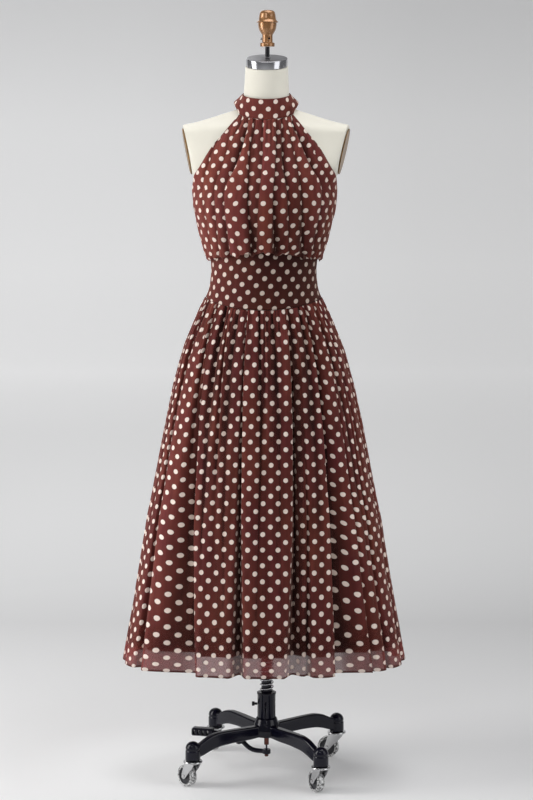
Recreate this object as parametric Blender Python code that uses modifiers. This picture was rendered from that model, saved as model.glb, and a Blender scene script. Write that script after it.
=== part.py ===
"""A-line halter dress on a limbless dress form with a castered stand.

Metres, +Z up, the front of the dress towards -Y, the floor at Z = 0 and the pole on the Z axis.
Angles round the body are 0 at the front, +90 degrees at +X and 180 at the centre back.
"""

import math

import bmesh
import bpy
import numpy as np
from mathutils import Matrix, Vector

MM = 0.001
GAP = 0.3 * MM  # between pieces that touch
CLOTH = 1.6 * MM  # wall of every cloth piece
LINING = 1.2 * MM

# Dress -------------------------------------------------------------------------------------

RING = np.dtype([(name, float) for name in ("z", "half_width", "front", "back")])

# Outer surface of the fitted band and of the skirt below it, before its folds.
LOWER_DRESS = np.array(
    [
        (0.268, 0.3230, 0.2090, 0.2145),
        (0.500, 0.2815, 0.1945, 0.2025),
        (0.593, 0.2665, 0.1860, 0.1965),
        (0.685, 0.2475, 0.1765, 0.1885),
        (0.778, 0.2300, 0.1660, 0.1795),
        (0.869, 0.2110, 0.1530, 0.1670),
        (0.960, 0.1885, 0.1375, 0.1500),
        (1.006, 0.1735, 0.1270, 0.1380),
        (1.050, 0.1555, 0.1160, 0.1240),
        (1.0817, 0.1415, 0.1080, 0.1120),
        (1.1035, 0.1310, 0.1030, 0.1030),
        (1.120, 0.1240, 0.0990, 0.0960),
        (1.142, 0.1200, 0.0955, 0.0900),
        (1.1645, 0.1184, 0.0940, 0.0870),
        (1.190, 0.1205, 0.0955, 0.0890),
        (1.215, 0.1225, 0.0975, 0.0930),
    ],
    RING,
)

# The form stands a little aslant: how far it and the dress lie from the pole's line.
SWAY = np.array(
    [(0.26, -0.0060), (1.10, -0.0068), (1.20, -0.0055), (1.35, -0.0040), (1.45, -0.0020), (1.56, 0.0), (1.64, 0.001)],
    [("z", float), ("x", float)],
)

# Heights of the seams: at the side, how far higher at the front, and at the back.
SEAM = np.dtype([(name, float) for name in ("side", "front_rise", "back_rise")])
WAIST_SEAM = np.array((1.1930, 0.0148, 0.0070), SEAM)
HIP_SEAM = np.array((1.1035, -0.0218, -0.0060), SEAM)
HEM = np.array((0.268, 0.006, 0.002), SEAM)

# Neckband: rings from its top edge to the widest crease and in to its lower seam.
NECKBAND_ROW = np.dtype(
    [(name, float) for name in ("half_width", "front", "back", "z_front", "z_side", "z_back")]
)
NECKBAND = np.array(
    [
        (0.0535, 0.0600, 0.0600, 1.5450, 1.5570, 1.5660),
        (0.0625, 0.0640, 0.0635, 1.5335, 1.5475, 1.5570),
        (0.0725, 0.0680, 0.0680, 1.5220, 1.5375, 1.5490),
        (0.0705, 0.0720, 0.0715, 1.5105, 1.5335, 1.5420),
    ],
    NECKBAND_ROW,
)
NECK_SEAM_HALF_WIDTH = 0.0675
NECK_SEAM_FRONT = 0.0755
NECK_SEAM_BACK = 0.0742
NECK_SEAM_HEIGHT = np.array(
    [(0, 1.4990), (30, 1.5032), (62, 1.5121), (75, 1.5215), (90, 1.5295), (120, 1.5320), (180, 1.5350)],
    [("angle", float), ("z", float)],
)
NECKBAND_COLUMNS = 28
NECKBAND_OVERHANG = 0.5 * MM  # drop of the gathered edges below the band's outer edge

# Bodice: rows from under the neckband to just above the waist seam. Each row runs from the
# centre, at z_mid and depth, to the armhole or side seam.
BODICE_ROW = np.dtype([(name, float) for name in ("z_mid", "depth", "z_edge", "x_edge", "y_edge")])
FRONT_ROWS = np.array(
    [
        (1.4780, 0.0850, 1.4900, 0.0775, 0.0600),
        (1.4550, 0.0960, 1.4710, 0.0928, 0.0700),
        (1.4280, 0.1100, 1.4405, 0.1183, 0.0765),
        (1.3920, 0.1300, 1.3980, 0.1441, 0.0780),
        (1.3620, 0.1440, 1.3726, 0.1584, 0.0600),
        (1.3320, 0.1490, 1.3450, 0.1615, 0.0200),
        (1.3000, 0.1460, 1.3120, 0.1580, 0.0000),
        (1.2620, 0.1350, 1.2660, 0.1485, 0.0000),
        (1.2325, 0.1230, 1.2245, 0.1375, 0.0000),
        (1.2120, 0.1145, 1.2020, 0.1320, 0.0000),
        (1.2015, 0.1070, 1.1875, 0.1275, 0.0000),
    ],
    BODICE_ROW,
)
BACK_ROWS = np.array(
    [
        (1.5100, 0.0830, 1.5050, 0.0790, 0.0620),
        (1.4780, 0.0950, 1.4750, 0.0950, 0.0820),
        (1.4400, 0.1090, 1.4405, 0.1190, 0.0900),
        (1.4000, 0.1175, 1.4000, 0.1445, 0.0850),
        (1.3620, 0.1200, 1.3740, 0.1590, 0.0630),
        (1.3300, 0.1170, 1.3450, 0.1618, 0.0230),
        (1.2900, 0.1120, 1.3120, 0.1580, 0.0000),
        (1.2450, 0.1070, 1.2500, 0.1445, 0.0000),
        (1.2120, 0.1030, 1.2090, 0.1330, 0.0000),
        (1.1965, 0.0980, 1.1880, 0.1275, 0.0000),
    ],
    BODICE_ROW,
)
NECK_REACH = 62.0  # degrees of the neckband, from the centre, that the bodice hangs from
BLOUSE_TURN = 2.4 * MM  # how far outside the band the cloth turns back up to the waist seam
BLOUSE_TURN_RISE = 3.5 * MM
SEAM_LAP = 0.8 * MM
FOLD_AT_TURN = (0.6, 0.12, 0.0)  # what is left of the folds in the last rows

# Folds of the bodice: place across the row (0 centre, 1 edge) at the neck and at the waist,
# and how deep the valley is at the neck, over the bust and above the waist.
BODICE_FOLD = np.dtype([(name, float) for name in ("neck", "waist", "at_neck", "at_bust", "at_waist")])
FRONT_FOLDS = np.array(
    [
        (-0.82, -0.86, 1.5 * MM, 3 * MM, 4 * MM),
        (-0.64, -0.62, 2.5 * MM, 5 * MM, 4 * MM),
        (-0.47, -0.40, 4.5 * MM, 8 * MM, 6 * MM),
        (-0.31, -0.27, 3 * MM, 6 * MM, 5 * MM),
        (-0.18, -0.14, 4 * MM, 7 * MM, 9 * MM),
        (-0.07, -0.04, 3 * MM, 3 * MM, 2 * MM),
        (0.05, 0.05, 3 * MM, 2 * MM, 2 * MM),
        (0.16, 0.15, 4.5 * MM, 9 * MM, 10 * MM),
        (0.28, 0.27, 3 * MM, 3 * MM, 5 * MM),
        (0.42, 0.37, 4.5 * MM, 6 * MM, 5 * MM),
        (0.56, 0.54, 3 * MM, 7 * MM, 6 * MM),
        (0.71, 0.70, 2.5 * MM, 4 * MM, 4 * MM),
        (0.86, 0.87, 1.5 * MM, 3 * MM, 3 * MM),
    ],
    BODICE_FOLD,
)
BACK_FOLDS = np.array(
    [
        (0.20, 0.17, 3 * MM, 3 * MM, 4 * MM),
        (0.41, 0.37, 3 * MM, 4 * MM, 5 * MM),
        (0.62, 0.58, 2.5 * MM, 4 * MM, 4 * MM),
        (0.82, 0.80, 1.5 * MM, 2 * MM, 3 * MM),
    ],
    BODICE_FOLD,
)
BODICE_CROWN = 1.5 * MM
ZIP_FLAT = 0.05  # share of a back row beside the zip that stays flat

MIDRIFF_ROWS = 2
MIDRIFF_COLUMNS = 12  # in each quarter of the waist

# Folds of the skirt, one row for each valley: its angle at the hip seam and at the hem, how
# far the cloth slopes into it from the left and from the right, its depth at the hem, and
# how far the crown after it stands out.
SKIRT_FOLD = np.dtype([(name, float) for name in ("top", "hem", "left", "right", "depth", "crown")])
SKIRT_FOLDS = np.array(
    [
        (-165.0, -167.0, 5.0, 3.0, 26 * MM, 4 * MM),
        (-143.0, -146.0, 3.0, 4.0, 34 * MM, 5 * MM),
        (-123.0, -127.0, 3.5, 12.0, 28 * MM, 4 * MM),
        (-103.0, -104.0, 4.0, 5.0, 20 * MM, 3 * MM),
        (-84.0, -84.0, 4.0, 5.0, 8 * MM, 3 * MM),
        (-63.0, -61.5, 2.5, 5.0, 18 * MM, 4 * MM),
        (-41.0, -30.5, 24.0, 2.6, 30 * MM, 4 * MM),
        (-19.0, -10.4, 3.2, 3.0, 34 * MM, 3 * MM),
        (18.2, 12.0, 4.2, 3.4, 35 * MM, -15 * MM),
        (22.5, 18.4, 1.6, 1.5, 24 * MM, 5 * MM),
        (38.5, 31.0, 2.2, 17.0, 30 * MM, 3 * MM),
        (56.0, 50.5, 1.6, 3.0, 9 * MM, 3 * MM),
        (65.0, 60.5, 2.5, 3.0, 14 * MM, 3 * MM),
        (83.0, 83.0, 6.0, 5.0, 8 * MM, 3 * MM),
        (101.0, 101.0, 5.0, 3.0, 20 * MM, 4 * MM),
        (118.0, 121.0, 12.0, 3.0, 30 * MM, 5 * MM),
        (139.0, 143.0, 3.5, 4.0, 33 * MM, 4 * MM),
        (160.0, 163.0, 3.0, 8.0, 28 * MM, 4 * MM),
    ],
    SKIRT_FOLD,
)
TOP_SPREAD = 0.6  # a fold's slopes are this much narrower at the hip seam
FOLD_GROWTH = 0.85
SKIRT_ROWS = (0.0, 0.025, 0.075, 0.155, 0.28, 0.50, 1.0)  # share of the way to the hem
FRONT_GATHERS = 31
BACK_GATHERS = 15  # in each half
GATHER_COLUMNS = 3
GATHER_AT_SEAM = 1.8 * MM
GATHER_BELOW = 3.6 * MM
GATHER_FADE = 0.16  # share of the length over which the gathers run out
FABRIC_SHARE = 0.38  # how far the columns follow the cloth at the hem instead of the hip
HIP_DROP = 1.0 * MM

LINING_ROWS = (0.0, 0.08, 0.30, 1.0)
LINING_HEM = 0.3165
LINING_INSET_TOP = 5.4 * MM
LINING_INSET = 10.0 * MM

# Closures at the centre back ----------------------------------------------------------------

BUTTON_RADIUS = 4.6 * MM
BUTTON_THICKNESS = 2.8 * MM
BUTTON_HEIGHTS = (1.5610, 1.5490)
BUTTON_SIDE = 7.0 * MM
BUTTON_LIFT = 0.6 * MM
BUTTON_LEAN = math.radians(72)
LOOP = (  # the cord's middle line round the button, seen from behind
    (-0.0085, 0.0022),
    (-0.0050, 0.0042),
    (0.0000, 0.0056),
    (0.0040, 0.0040),
    (0.0056, 0.0000),
    (0.0040, -0.0040),
    (0.0000, -0.0056),
    (-0.0050, -0.0042),
    (-0.0085, -0.0022),
)
LOOP_RADIUS = 0.55 * MM
LOOP_LIFT = 1.0 * MM

SLIDER_Z = 1.4950
SLIDER_LIFT = 0.4 * MM
SLIDER_WIDTH = 5.4 * MM
SLIDER_LENGTH = 8.4 * MM
SLIDER_PLATE = 1.3 * MM
BRIDGE_WIDTH = 1.4 * MM
BRIDGE_LENGTH = 6.0 * MM
BRIDGE_ROOM = 1.5 * MM
BRIDGE_BAR = 0.7 * MM
BRIDGE_LEG = 0.8 * MM
TAB_WIDTH = 4.6 * MM
TAB_LENGTH = 21.0 * MM
TAB_THICKNESS = 0.9 * MM
TAB_HOLE_WIDTH = 2.6 * MM
TAB_HOLE_LENGTH = 4.2 * MM

# Dress form ---------------------------------------------------------------------------------

BODY = np.dtype([(name, float) for name in ("z", "half_width", "front", "back", "power")])
TORSO = np.array(
    [
        (0.790, 0.1460, 0.1000, 0.1240, 2.1),
        (0.900, 0.1580, 0.1000, 0.1260, 2.1),
        (0.970, 0.1520, 0.0960, 0.1160, 2.1),
        (1.040, 0.1340, 0.0910, 0.0990, 2.1),
        (1.1035, 0.1180, 0.0900, 0.0890, 2.1),
        (1.160, 0.1090, 0.0845, 0.0770, 2.1),
        (1.220, 0.1180, 0.0900, 0.0830, 2.1),
        (1.280, 0.1360, 0.1130, 0.0960, 2.2),
        (1.330, 0.1490, 0.1320, 0.1040, 2.2),
        (1.365, 0.1545, 0.1230, 0.1080, 2.1),
        (1.377, 0.1780, 0.1180, 0.1080, 2.1),
        (1.400, 0.1950, 0.1060, 0.1070, 2.0),
        (1.440, 0.2150, 0.0840, 0.0980, 2.0),
        (1.471, 0.2200, 0.0705, 0.0860, 2.0),
        (1.4845, 0.2040, 0.0670, 0.0800, 1.8),
        (1.495, 0.1560, 0.0620, 0.0720, 1.42),
        (1.512, 0.1000, 0.0580, 0.0640, 1.12),
        (1.527, 0.0600, 0.0540, 0.0580, 1.6),
        (1.545, 0.0515, 0.0530, 0.0560, 2.0),
        (1.557, 0.0505, 0.0515, 0.0545, 2.0),
        (1.618, 0.0475, 0.0480, 0.0490, 2.0),
    ],
    BODY,
)
TORSO_COLUMNS = 28
NECK_TILT = math.radians(13)
NECK_TILT_START = 1.557
NECK_TOP = 1.618
ARM_PLATE_TOP = (0.1852, 1.483)
ARM_PLATE_BOTTOM = (0.1632, 1.377)
ARM_PLATE_TURNS = {-1: math.radians(4.5), 1: math.radians(7.5)}  # towards the front
ARM_PLATE_DEPTH = 0.084
ARM_PLATE_Y = 0.006
ARM_PLATE_THICKNESS = 3 * MM
ARM_PLATE_SIDES = 20
BOTTOM_PLATE = 6 * MM
CAP_RADIUS = 0.0462
CAP_THICKNESS = 0.018
NECK_ROD_RADIUS = 0.005
FINIAL_FOOT = 1.661
FINIAL_X = 0.002
FINIAL_PROFILE = (
    (0.0, 1.7420),
    (0.0105, 1.7415),
    (0.0150, 1.7385),
    (0.0172, 1.7320),
    (0.0182, 1.7220),
    (0.0222, 1.7165),
    (0.0222, 1.7145),
    (0.0198, 1.7125),
    (0.0200, 1.7060),
    (0.0183, 1.6980),
    (0.0145, 1.6905),
    (0.0120, 1.6865),
    (0.0118, 1.6720),
    (0.0155, 1.6695),
    (0.0157, FINIAL_FOOT),
    (0.0, FINIAL_FOOT),
)
FINIAL_SCREW_Z = 1.6785

# Stand --------------------------------------------------------------------------------------

POLE_RADIUS = 0.012
POLE_BOTTOM = 0.0980
COLLAR_RADIUS = 0.024
COLLAR_HEIGHT = 0.028
COLUMN_RADIUS = 0.021
COLUMN_LIP = 0.0222
COLUMN_BORE = 0.0126
COLUMN_TOP = 0.191
COLUMN_BOTTOM = 0.0923
SPRING_RADIUS = 0.0153  # to the middle of the wire
SPRING_WIRE = 1.0 * MM
SPRING_PITCH = 0.0106
SPRING_TURNS = 9
SPRING_POINTS = 8  # each turn
SET_SCREW_Z = 0.163
HUB_PROFILE = (
    (0.0215, 0.1310),
    (0.0240, 0.1300),
    (0.0268, 0.1215),
    (0.0310, 0.1140),
    (0.0330, 0.1020),
    (0.0310, 0.0890),
    (0.0215, 0.0890),
)
HUB_FLOOR = 0.0885
HUB_FLOOR_TOP = 0.0920
HUB_FLOOR_RADIUS = 0.0240
LEG_TURN = math.radians(36.2)
LEG_REACH = 0.206
# Each leg: distance out from the pole, height of its middle, its height and its width.
LEG = np.array(
    [
        (0.0225, 0.1020, 0.0260, 0.0240),
        (0.0600, 0.1018, 0.0290, 0.0225),
        (0.1000, 0.1024, 0.0305, 0.0205),
        (0.1350, 0.1020, 0.0315, 0.0190),
        (0.1600, 0.0980, 0.0310, 0.0185),
        (0.1800, 0.0895, 0.0270, 0.0180),
        (0.2000, 0.0820, 0.0210, 0.0170),
    ],
    [(name, float) for name in ("out", "z", "height", "width")],
)
SOCKET_RADIUS = 0.0170
SOCKET_BOTTOM = 0.0660
SOCKET_SHOULDER = 0.0915
SOCKET_TOP = 0.1080
SOCKET_BORE = 0.0057
SOCKET_BORE_TOP = 0.0940

WHEEL_RADIUS = 0.025
WHEEL_WIDTH = 0.018
WHEEL_SIDES = 20
WHEEL_BORE = 0.0034
AXLE_RADIUS = 0.0030
CASTER_TRAIL = 0.0205
FORK_GAP = 1.1 * MM  # from the wheel to each arm
FORK_WALL = 2.0 * MM
FORK_PLATE_RADIUS = 0.0185
FORK_PLATE_BOTTOM = 0.0600
FORK_PLATE_TOP = 0.0645
STEM_RADIUS = 0.0052
STEM_TOP = 0.0930
FORK_ARM = (
    (-0.0125, 0.0615),
    (-0.0090, 0.0480),
    (0.0135, 0.0240),
    (0.0205, 0.0185),
    (0.0270, 0.0240),
    (0.0155, 0.0615),
)
CASTERS = {  # name: the leg's quarter turn, and the heading of the wheel behind its stem
    "back_right": (0, 160.0),
    "back_left": (1, 107.0),
    "front_left": (2, 132.0),
    "front_right": (3, 117.0),
}

PEDAL_ROUTE = (  # the lever's middle line, from under the pad to its eye below the hub
    (-0.1290, 0.0305, 0.0860),
    (-0.0950, 0.0225, 0.0850),
    (-0.0720, 0.0170, 0.0780),
    (-0.0560, 0.0132, 0.0640),
    (-0.0400, 0.0095, 0.0535),
    (-0.0200, 0.0047, 0.0500),
    (0.0000, 0.0000, 0.0500),
)
PEDAL_HEADING = math.atan2(-0.235, 1.0)
PEDAL_WIRE = 0.0052
PEDAL_PAD = (0.050, 0.024, 0.010)
PEDAL_PAD_CENTRE = (-0.1480, 0.0350, 0.0872)
PIVOT = (-0.0640, 0.0151, 0.0710)
PIVOT_RADIUS = 0.0022
PIVOT_BORE = 0.0026
EAR = (  # outline of an ear below the hub: distance out from the pole, height
    (0.0270, 0.1040),
    (0.0520, 0.0960),
    (0.0715, 0.0770),
    (0.0715, 0.0650),
    (0.0590, 0.0650),
    (0.0270, 0.0900),
)
EAR_WALL = 3.0 * MM
EAR_GAP = 1.0 * MM
BRAKE_ROD_RADIUS = 0.0024
BRAKE_ROD_BOTTOM = 0.0420
BRAKE_EYE = 0.0054
BRAKE_RING = 0.0090

# Finishes: colour, roughness, metallic.
PRINTED_CHIFFON = ("printed_chiffon", (0.135, 0.032, 0.028), 0.75, 0.0)
LINING_CLOTH = ("lining_cloth", (0.075, 0.018, 0.017), 0.7, 0.0)
FORM_COVER = ("form_cover", (0.80, 0.77, 0.66), 0.6, 0.0)
COPPER = ("copper_lacquer", (0.52, 0.24, 0.09), 0.3, 0.9)
ANTIQUE_GOLD = ("antique_gold", (0.33, 0.21, 0.07), 0.4, 0.8)
CHROME = ("chrome", (0.62, 0.62, 0.64), 0.12, 1.0)
BLACK_ENAMEL = ("black_enamel", (0.012, 0.012, 0.016), 0.28, 0.0)
BLACK_STEEL = ("black_steel", (0.02, 0.02, 0.022), 0.4, 0.6)
WHEEL_RUBBER = ("wheel_rubber", (0.03, 0.03, 0.035), 0.5, 0.0)
COVERED_BUTTON = ("covered_button", (0.13, 0.03, 0.027), 0.7, 0.0)


# Scene and shared shapes --------------------------------------------------------------------


def clear_scene():
    for obj in list(bpy.data.objects):
        bpy.data.objects.remove(obj)


def new_collection(name):
    collection = bpy.data.collections.new(name)
    bpy.context.scene.collection.children.link(collection)
    return collection


def finish_material(finish):
    name, colour, roughness, metallic = finish
    material = bpy.data.materials.get(name)
    if material is None:
        material = bpy.data.materials.new(name)
        material.use_nodes = True
        shader = material.node_tree.nodes["Principled BSDF"]
        shader.inputs["Base Color"].default_value = (*colour, 1.0)
        shader.inputs["Roughness"].default_value = roughness
        shader.inputs["Metallic"].default_value = metallic
    return material


def add_object(name, mesh, finish, smooth=True):
    """A part in the dress's collection; a shape for a Boolean has no finish and is hidden."""
    obj = bpy.data.objects.new(name, mesh)
    if finish is None:
        bpy.data.collections["shapes"].objects.link(obj)
        obj.hide_render = True
        obj.display_type = "WIRE"
        return obj
    bpy.data.collections["halter_dress"].objects.link(obj)
    mesh.materials.append(finish_material(finish))
    if smooth:
        mesh.shade_smooth()
        mesh.set_sharp_from_angle(angle=math.radians(50))
    return obj


def from_bmesh(name, shape, finish, smooth=True):
    mesh = bpy.data.meshes.new(name)
    bmesh.ops.recalc_face_normals(shape, faces=shape.faces)
    shape.to_mesh(mesh)
    shape.free()
    return add_object(name, mesh, finish, smooth)


def turned(name, profile, finish, sides, smooth=True):
    """A profile of (radius, z), down its outer side, turned about Z."""
    mesh = bpy.data.meshes.new(name)
    closed = profile[0][0] > 0
    count = len(profile)
    edges = [(i, (i + 1) % count) for i in range(count if closed else count - 1)]
    mesh.from_pydata([(radius, 0, z) for radius, z in profile], edges, [])
    obj = add_object(name, mesh, finish, smooth=False)
    screw = obj.modifiers.new("turn", "SCREW")
    screw.steps = screw.render_steps = sides
    screw.use_merge_vertices = True
    screw.merge_threshold = 0.00001
    screw.use_smooth_shade = smooth
    return obj


def tube_profile(outer, inner, bottom, top):
    return ((outer, top), (outer, bottom), (inner, bottom), (inner, top))


def bar_profile(radius, bottom, top):
    return ((0.0, top), (radius, top), (radius, bottom), (0.0, bottom))


def box(name, size, centre, finish, turn=None):
    shape = bmesh.new()
    bmesh.ops.create_cube(shape, size=1.0)
    bmesh.ops.scale(shape, vec=size, verts=shape.verts)
    if turn is not None:
        bmesh.ops.transform(shape, matrix=turn, verts=shape.verts)
    bmesh.ops.translate(shape, vec=centre, verts=shape.verts)
    return from_bmesh(name, shape, finish, smooth=False)


def boolean(obj, operation, others):
    """Joins the other shapes to obj, or cuts them from it."""
    for other in others:
        modifier = obj.modifiers.new(f"{operation.lower()}_{other.name}", "BOOLEAN")
        modifier.operation = operation
        modifier.object = other
        modifier.solver = "EXACT"


def lofted(name, rings, finish):
    """A closed solid through rings of points, each an array of (columns, 3), listed bottom up."""
    shape = bmesh.new()
    verts = [[shape.verts.new(point) for point in ring] for ring in rings]
    columns = len(verts[0])
    for low, high in zip(verts, verts[1:]):
        for i in range(columns):
            j = (i + 1) % columns
            shape.faces.new((low[i], low[j], high[j], high[i]))
    shape.faces.new(verts[0][::-1])
    shape.faces.new(verts[-1])
    return from_bmesh(name, shape, finish)


def sheet(name, rows, finish, wall=CLOTH, closed=False):
    """Cloth: an outer surface of (rows, columns, 3) points, top row first, given its wall inwards."""
    rows = aslant(rows)
    shape = bmesh.new()
    verts = [[shape.verts.new(point) for point in row] for row in rows]
    columns = len(verts[0])
    for upper, lower in zip(verts, verts[1:]):
        for i in range(columns if closed else columns - 1):
            j = (i + 1) % columns
            shape.faces.new((upper[i], lower[i], lower[j], upper[j]))
    mesh = bpy.data.meshes.new(name)
    shape.to_mesh(mesh)
    shape.free()
    obj = add_object(name, mesh, finish)
    solidify = obj.modifiers.new("wall", "SOLIDIFY")
    solidify.thickness = wall
    solidify.offset = -1.0
    solidify.use_even_offset = True
    solidify.use_quality_normals = True
    return obj


# Curves and rings ---------------------------------------------------------------------------


def smooth(xs, ys, at):
    """Reads the smooth curve through the points (xs, ys), which never overshoots them, at the places at."""
    at = np.clip(at, xs[0], xs[-1])
    steps = np.diff(xs)
    rises = np.diff(ys) / steps
    same_way = rises[:-1] * rises[1:] > 0
    total = np.where(same_way, rises[:-1] + rises[1:], 1.0)
    inner = np.where(same_way, 2 * rises[:-1] * rises[1:] / total, 0.0)
    slopes = np.concatenate([rises[:1], inner, rises[-1:]])
    k = np.clip(np.searchsorted(xs, at, side="right") - 1, 0, len(xs) - 2)
    t = (at - xs[k]) / steps[k]
    start = (1 + 2 * t) * (1 - t) ** 2 * ys[k] + t * (1 - t) ** 2 * steps[k] * slopes[k]
    end = t * t * (3 - 2 * t) * ys[k + 1] + t * t * (t - 1) * steps[k] * slopes[k + 1]
    return start + end


def ring_point(sections, z, angle, offset=0.0):
    """Point on the lofted ellipses at height z, moved out by offset. Arrays broadcast."""
    z, angle, offset = np.broadcast_arrays(z, angle, offset)
    sine, cosine = np.sin(angle), np.cos(angle)
    width = smooth(sections["z"], sections["half_width"], z)
    front = smooth(sections["z"], sections["front"], z)
    back = smooth(sections["z"], sections["back"], z)
    depth = np.where(cosine > 0, front, back)
    out = np.hypot(depth * sine, width * cosine)
    x = width * sine + offset * depth * sine / out
    y = -depth * cosine - offset * width * cosine / out
    return np.stack([x, y, z], axis=-1)


def sway(z):
    return np.interp(z, SWAY["z"], SWAY["x"])


def aslant(points):
    """The points moved with the slant of the form."""
    moved = np.array(points)
    moved[..., 0] += sway(moved[..., 2])
    return moved


def seam_height(seam, angle):
    rise = np.where(np.cos(angle) > 0, seam["front_rise"], seam["back_rise"])
    return seam["side"] + rise * np.cos(angle) ** 2


def part_seams(rows):
    """Draws both ends of each row in by half a gap, so that neighbouring panels don't touch."""
    for end, inner in ((0, 1), (-1, -2)):
        way = rows[:, inner] - rows[:, end]
        rows[:, end] += way / np.linalg.norm(way, axis=-1, keepdims=True) * GAP / 2
    return rows


# Dress pieces -------------------------------------------------------------------------------


def neck_seam(angle):
    """The neckband's lower outer edge."""
    depth = np.where(np.cos(angle) > 0, NECK_SEAM_FRONT, NECK_SEAM_BACK)
    degrees = np.degrees(np.abs(angle))
    z = smooth(NECK_SEAM_HEIGHT["angle"], NECK_SEAM_HEIGHT["z"], degrees)
    return np.stack([NECK_SEAM_HALF_WIDTH * np.sin(angle), -depth * np.cos(angle), z], axis=-1)


def neckband():
    angle = np.radians(np.linspace(-180, 180, NECKBAND_COLUMNS + 1))
    rows = []
    for row in NECKBAND:
        front = np.cos(angle) > 0
        depth = np.where(front, row["front"], row["back"])
        rise = np.where(front, row["z_front"] - row["z_side"], row["z_back"] - row["z_side"])
        z = row["z_side"] + rise * np.abs(np.cos(angle))
        rows.append(np.stack([row["half_width"] * np.sin(angle), -depth * np.cos(angle), z], axis=-1))
    rows.append(neck_seam(angle))
    return sheet("neckband", part_seams(np.array(rows)), PRINTED_CHIFFON)


def fold_stations(folds, start, end):
    """Places across a bodice row, at the neck and at the waist: its edges, and each valley
    with the two sides of the crown after it."""
    flat = start + ZIP_FLAT if start == 0 else start
    stations = [(start, start), ((flat + folds["neck"][0]) / 2, (flat + folds["waist"][0]) / 2)]
    if start == 0:
        stations.insert(1, (flat, flat))
    for fold, after in zip(folds, folds[1:]):
        for share in (0, 1 / 3, 2 / 3):
            neck = fold["neck"] + (after["neck"] - fold["neck"]) * share
            stations.append((neck, fold["waist"] + (after["waist"] - fold["waist"]) * share))
    last = folds[-1]
    stations.append((last["neck"], last["waist"]))
    stations.append(((last["neck"] + end) / 2, (last["waist"] + end) / 2))
    stations.append((end, end))
    return np.array(stations)


def fold_offsets(folds, share, count):
    """How far each station stands off the plain surface, share of the way down from the neck."""
    depths = zip(folds["at_neck"], folds["at_bust"], folds["at_waist"])
    offsets = np.full(count, BODICE_CROWN)
    offsets[0] = offsets[-1] = 0.0
    first = count - 3 * len(folds)
    offsets[first:-2:3] = [-np.interp(share, (0.0, 0.5, 1.0), depth) for depth in depths]
    if first > 2:
        offsets[1] = 0.0
    return offsets


def bodice_row(row, place):
    """Points of one plain bodice row at places from -1 to 1, with y towards the row's own side."""
    reach = math.acos(row["y_edge"] / row["depth"])
    angle = place * reach
    x = row["x_edge"] / math.sin(reach) * np.sin(angle)
    y = row["depth"] * np.cos(angle)
    z = row["z_mid"] + (row["z_edge"] - row["z_mid"]) * (np.sin(angle) / math.sin(reach)) ** 2
    return np.stack([x, y, z], axis=-1)


def bodice_rows(table, folds, start, end, side):
    """Rows of a bodice panel between the places start and end; side is -1 in front, +1 at the back."""
    stations = fold_stations(folds, start, end)
    count = len(table)
    plain, offsets = [], []
    for k in range(-1, count + 2):
        share = min(max((k + 1) / (count + 1), 0.0), 1.0)
        place = stations[:, 0] + (stations[:, 1] - stations[:, 0]) * share
        offset = fold_offsets(folds, share, len(stations))
        if k == -1:
            turn = np.radians(NECK_REACH) * place
            points = neck_seam(turn if side < 0 else np.pi - turn) * (1, side, 1)
            points[:, 2] -= NECKBAND_OVERHANG
        elif k < count:
            points = bodice_row(table[k], place)
        else:
            turn = place * np.pi / 2
            around = turn if side < 0 else np.pi - turn
            seam = seam_height(WAIST_SEAM, around)
            if k == count:
                seam = seam - BLOUSE_TURN_RISE
                points = ring_point(LOWER_DRESS, seam, around, BLOUSE_TURN) * (1, side, 1)
            else:
                seam = seam - SEAM_LAP
                points = ring_point(LOWER_DRESS, seam, around, 1.2 * GAP) * (1, side, 1)
        if k >= count - 1:
            offset = offset * FOLD_AT_TURN[k - count + 1]
        plain.append(points)
        offsets.append(offset)
    plain, offsets = np.array(plain), np.array(offsets)
    normals = surface_normals(plain)
    normals[-1] = 0.0
    rows = plain + normals * offsets[..., None]
    return rows * (1, side, 1)


def surface_normals(rows):
    """Unit normals of a surface of (rows, columns, 3) points, away from the Z axis."""
    down = np.gradient(rows, axis=0)
    across = np.gradient(rows, axis=1)
    normals = np.cross(down, across)
    normals /= np.linalg.norm(normals, axis=-1, keepdims=True)
    outwards = (normals[..., :2] * rows[..., :2]).sum(axis=-1, keepdims=True)
    return normals * np.where(outwards < 0, -1.0, 1.0)


def bodice():
    front = bodice_rows(FRONT_ROWS, FRONT_FOLDS, -1.0, 1.0, -1)
    sheet("bodice_front", part_seams(front), PRINTED_CHIFFON)
    for name, mirror in (("bodice_back_left", -1), ("bodice_back_right", 1)):
        back = bodice_rows(BACK_ROWS, BACK_FOLDS, 0.0, 1.0, 1) * (mirror, 1, 1)
        if mirror > 0:
            back = back[:, ::-1]
        sheet(name, part_seams(back), PRINTED_CHIFFON)


def midriff():
    panels = (
        ("midriff_front", -90, 90, 2 * MIDRIFF_COLUMNS),
        ("midriff_back_right", 90, 180, MIDRIFF_COLUMNS),
        ("midriff_back_left", 180, 270, MIDRIFF_COLUMNS),
    )
    for name, start, end, columns in panels:
        angle = np.radians(np.linspace(start, end, columns + 1))
        rows = []
        for k in range(MIDRIFF_ROWS + 1):
            share = k / MIDRIFF_ROWS
            top, bottom = seam_height(WAIST_SEAM, angle), seam_height(HIP_SEAM, angle)
            rows.append(ring_point(LOWER_DRESS, top + (bottom - top) * share, angle))
        sheet(name, part_seams(np.array(rows)), PRINTED_CHIFFON)


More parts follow.
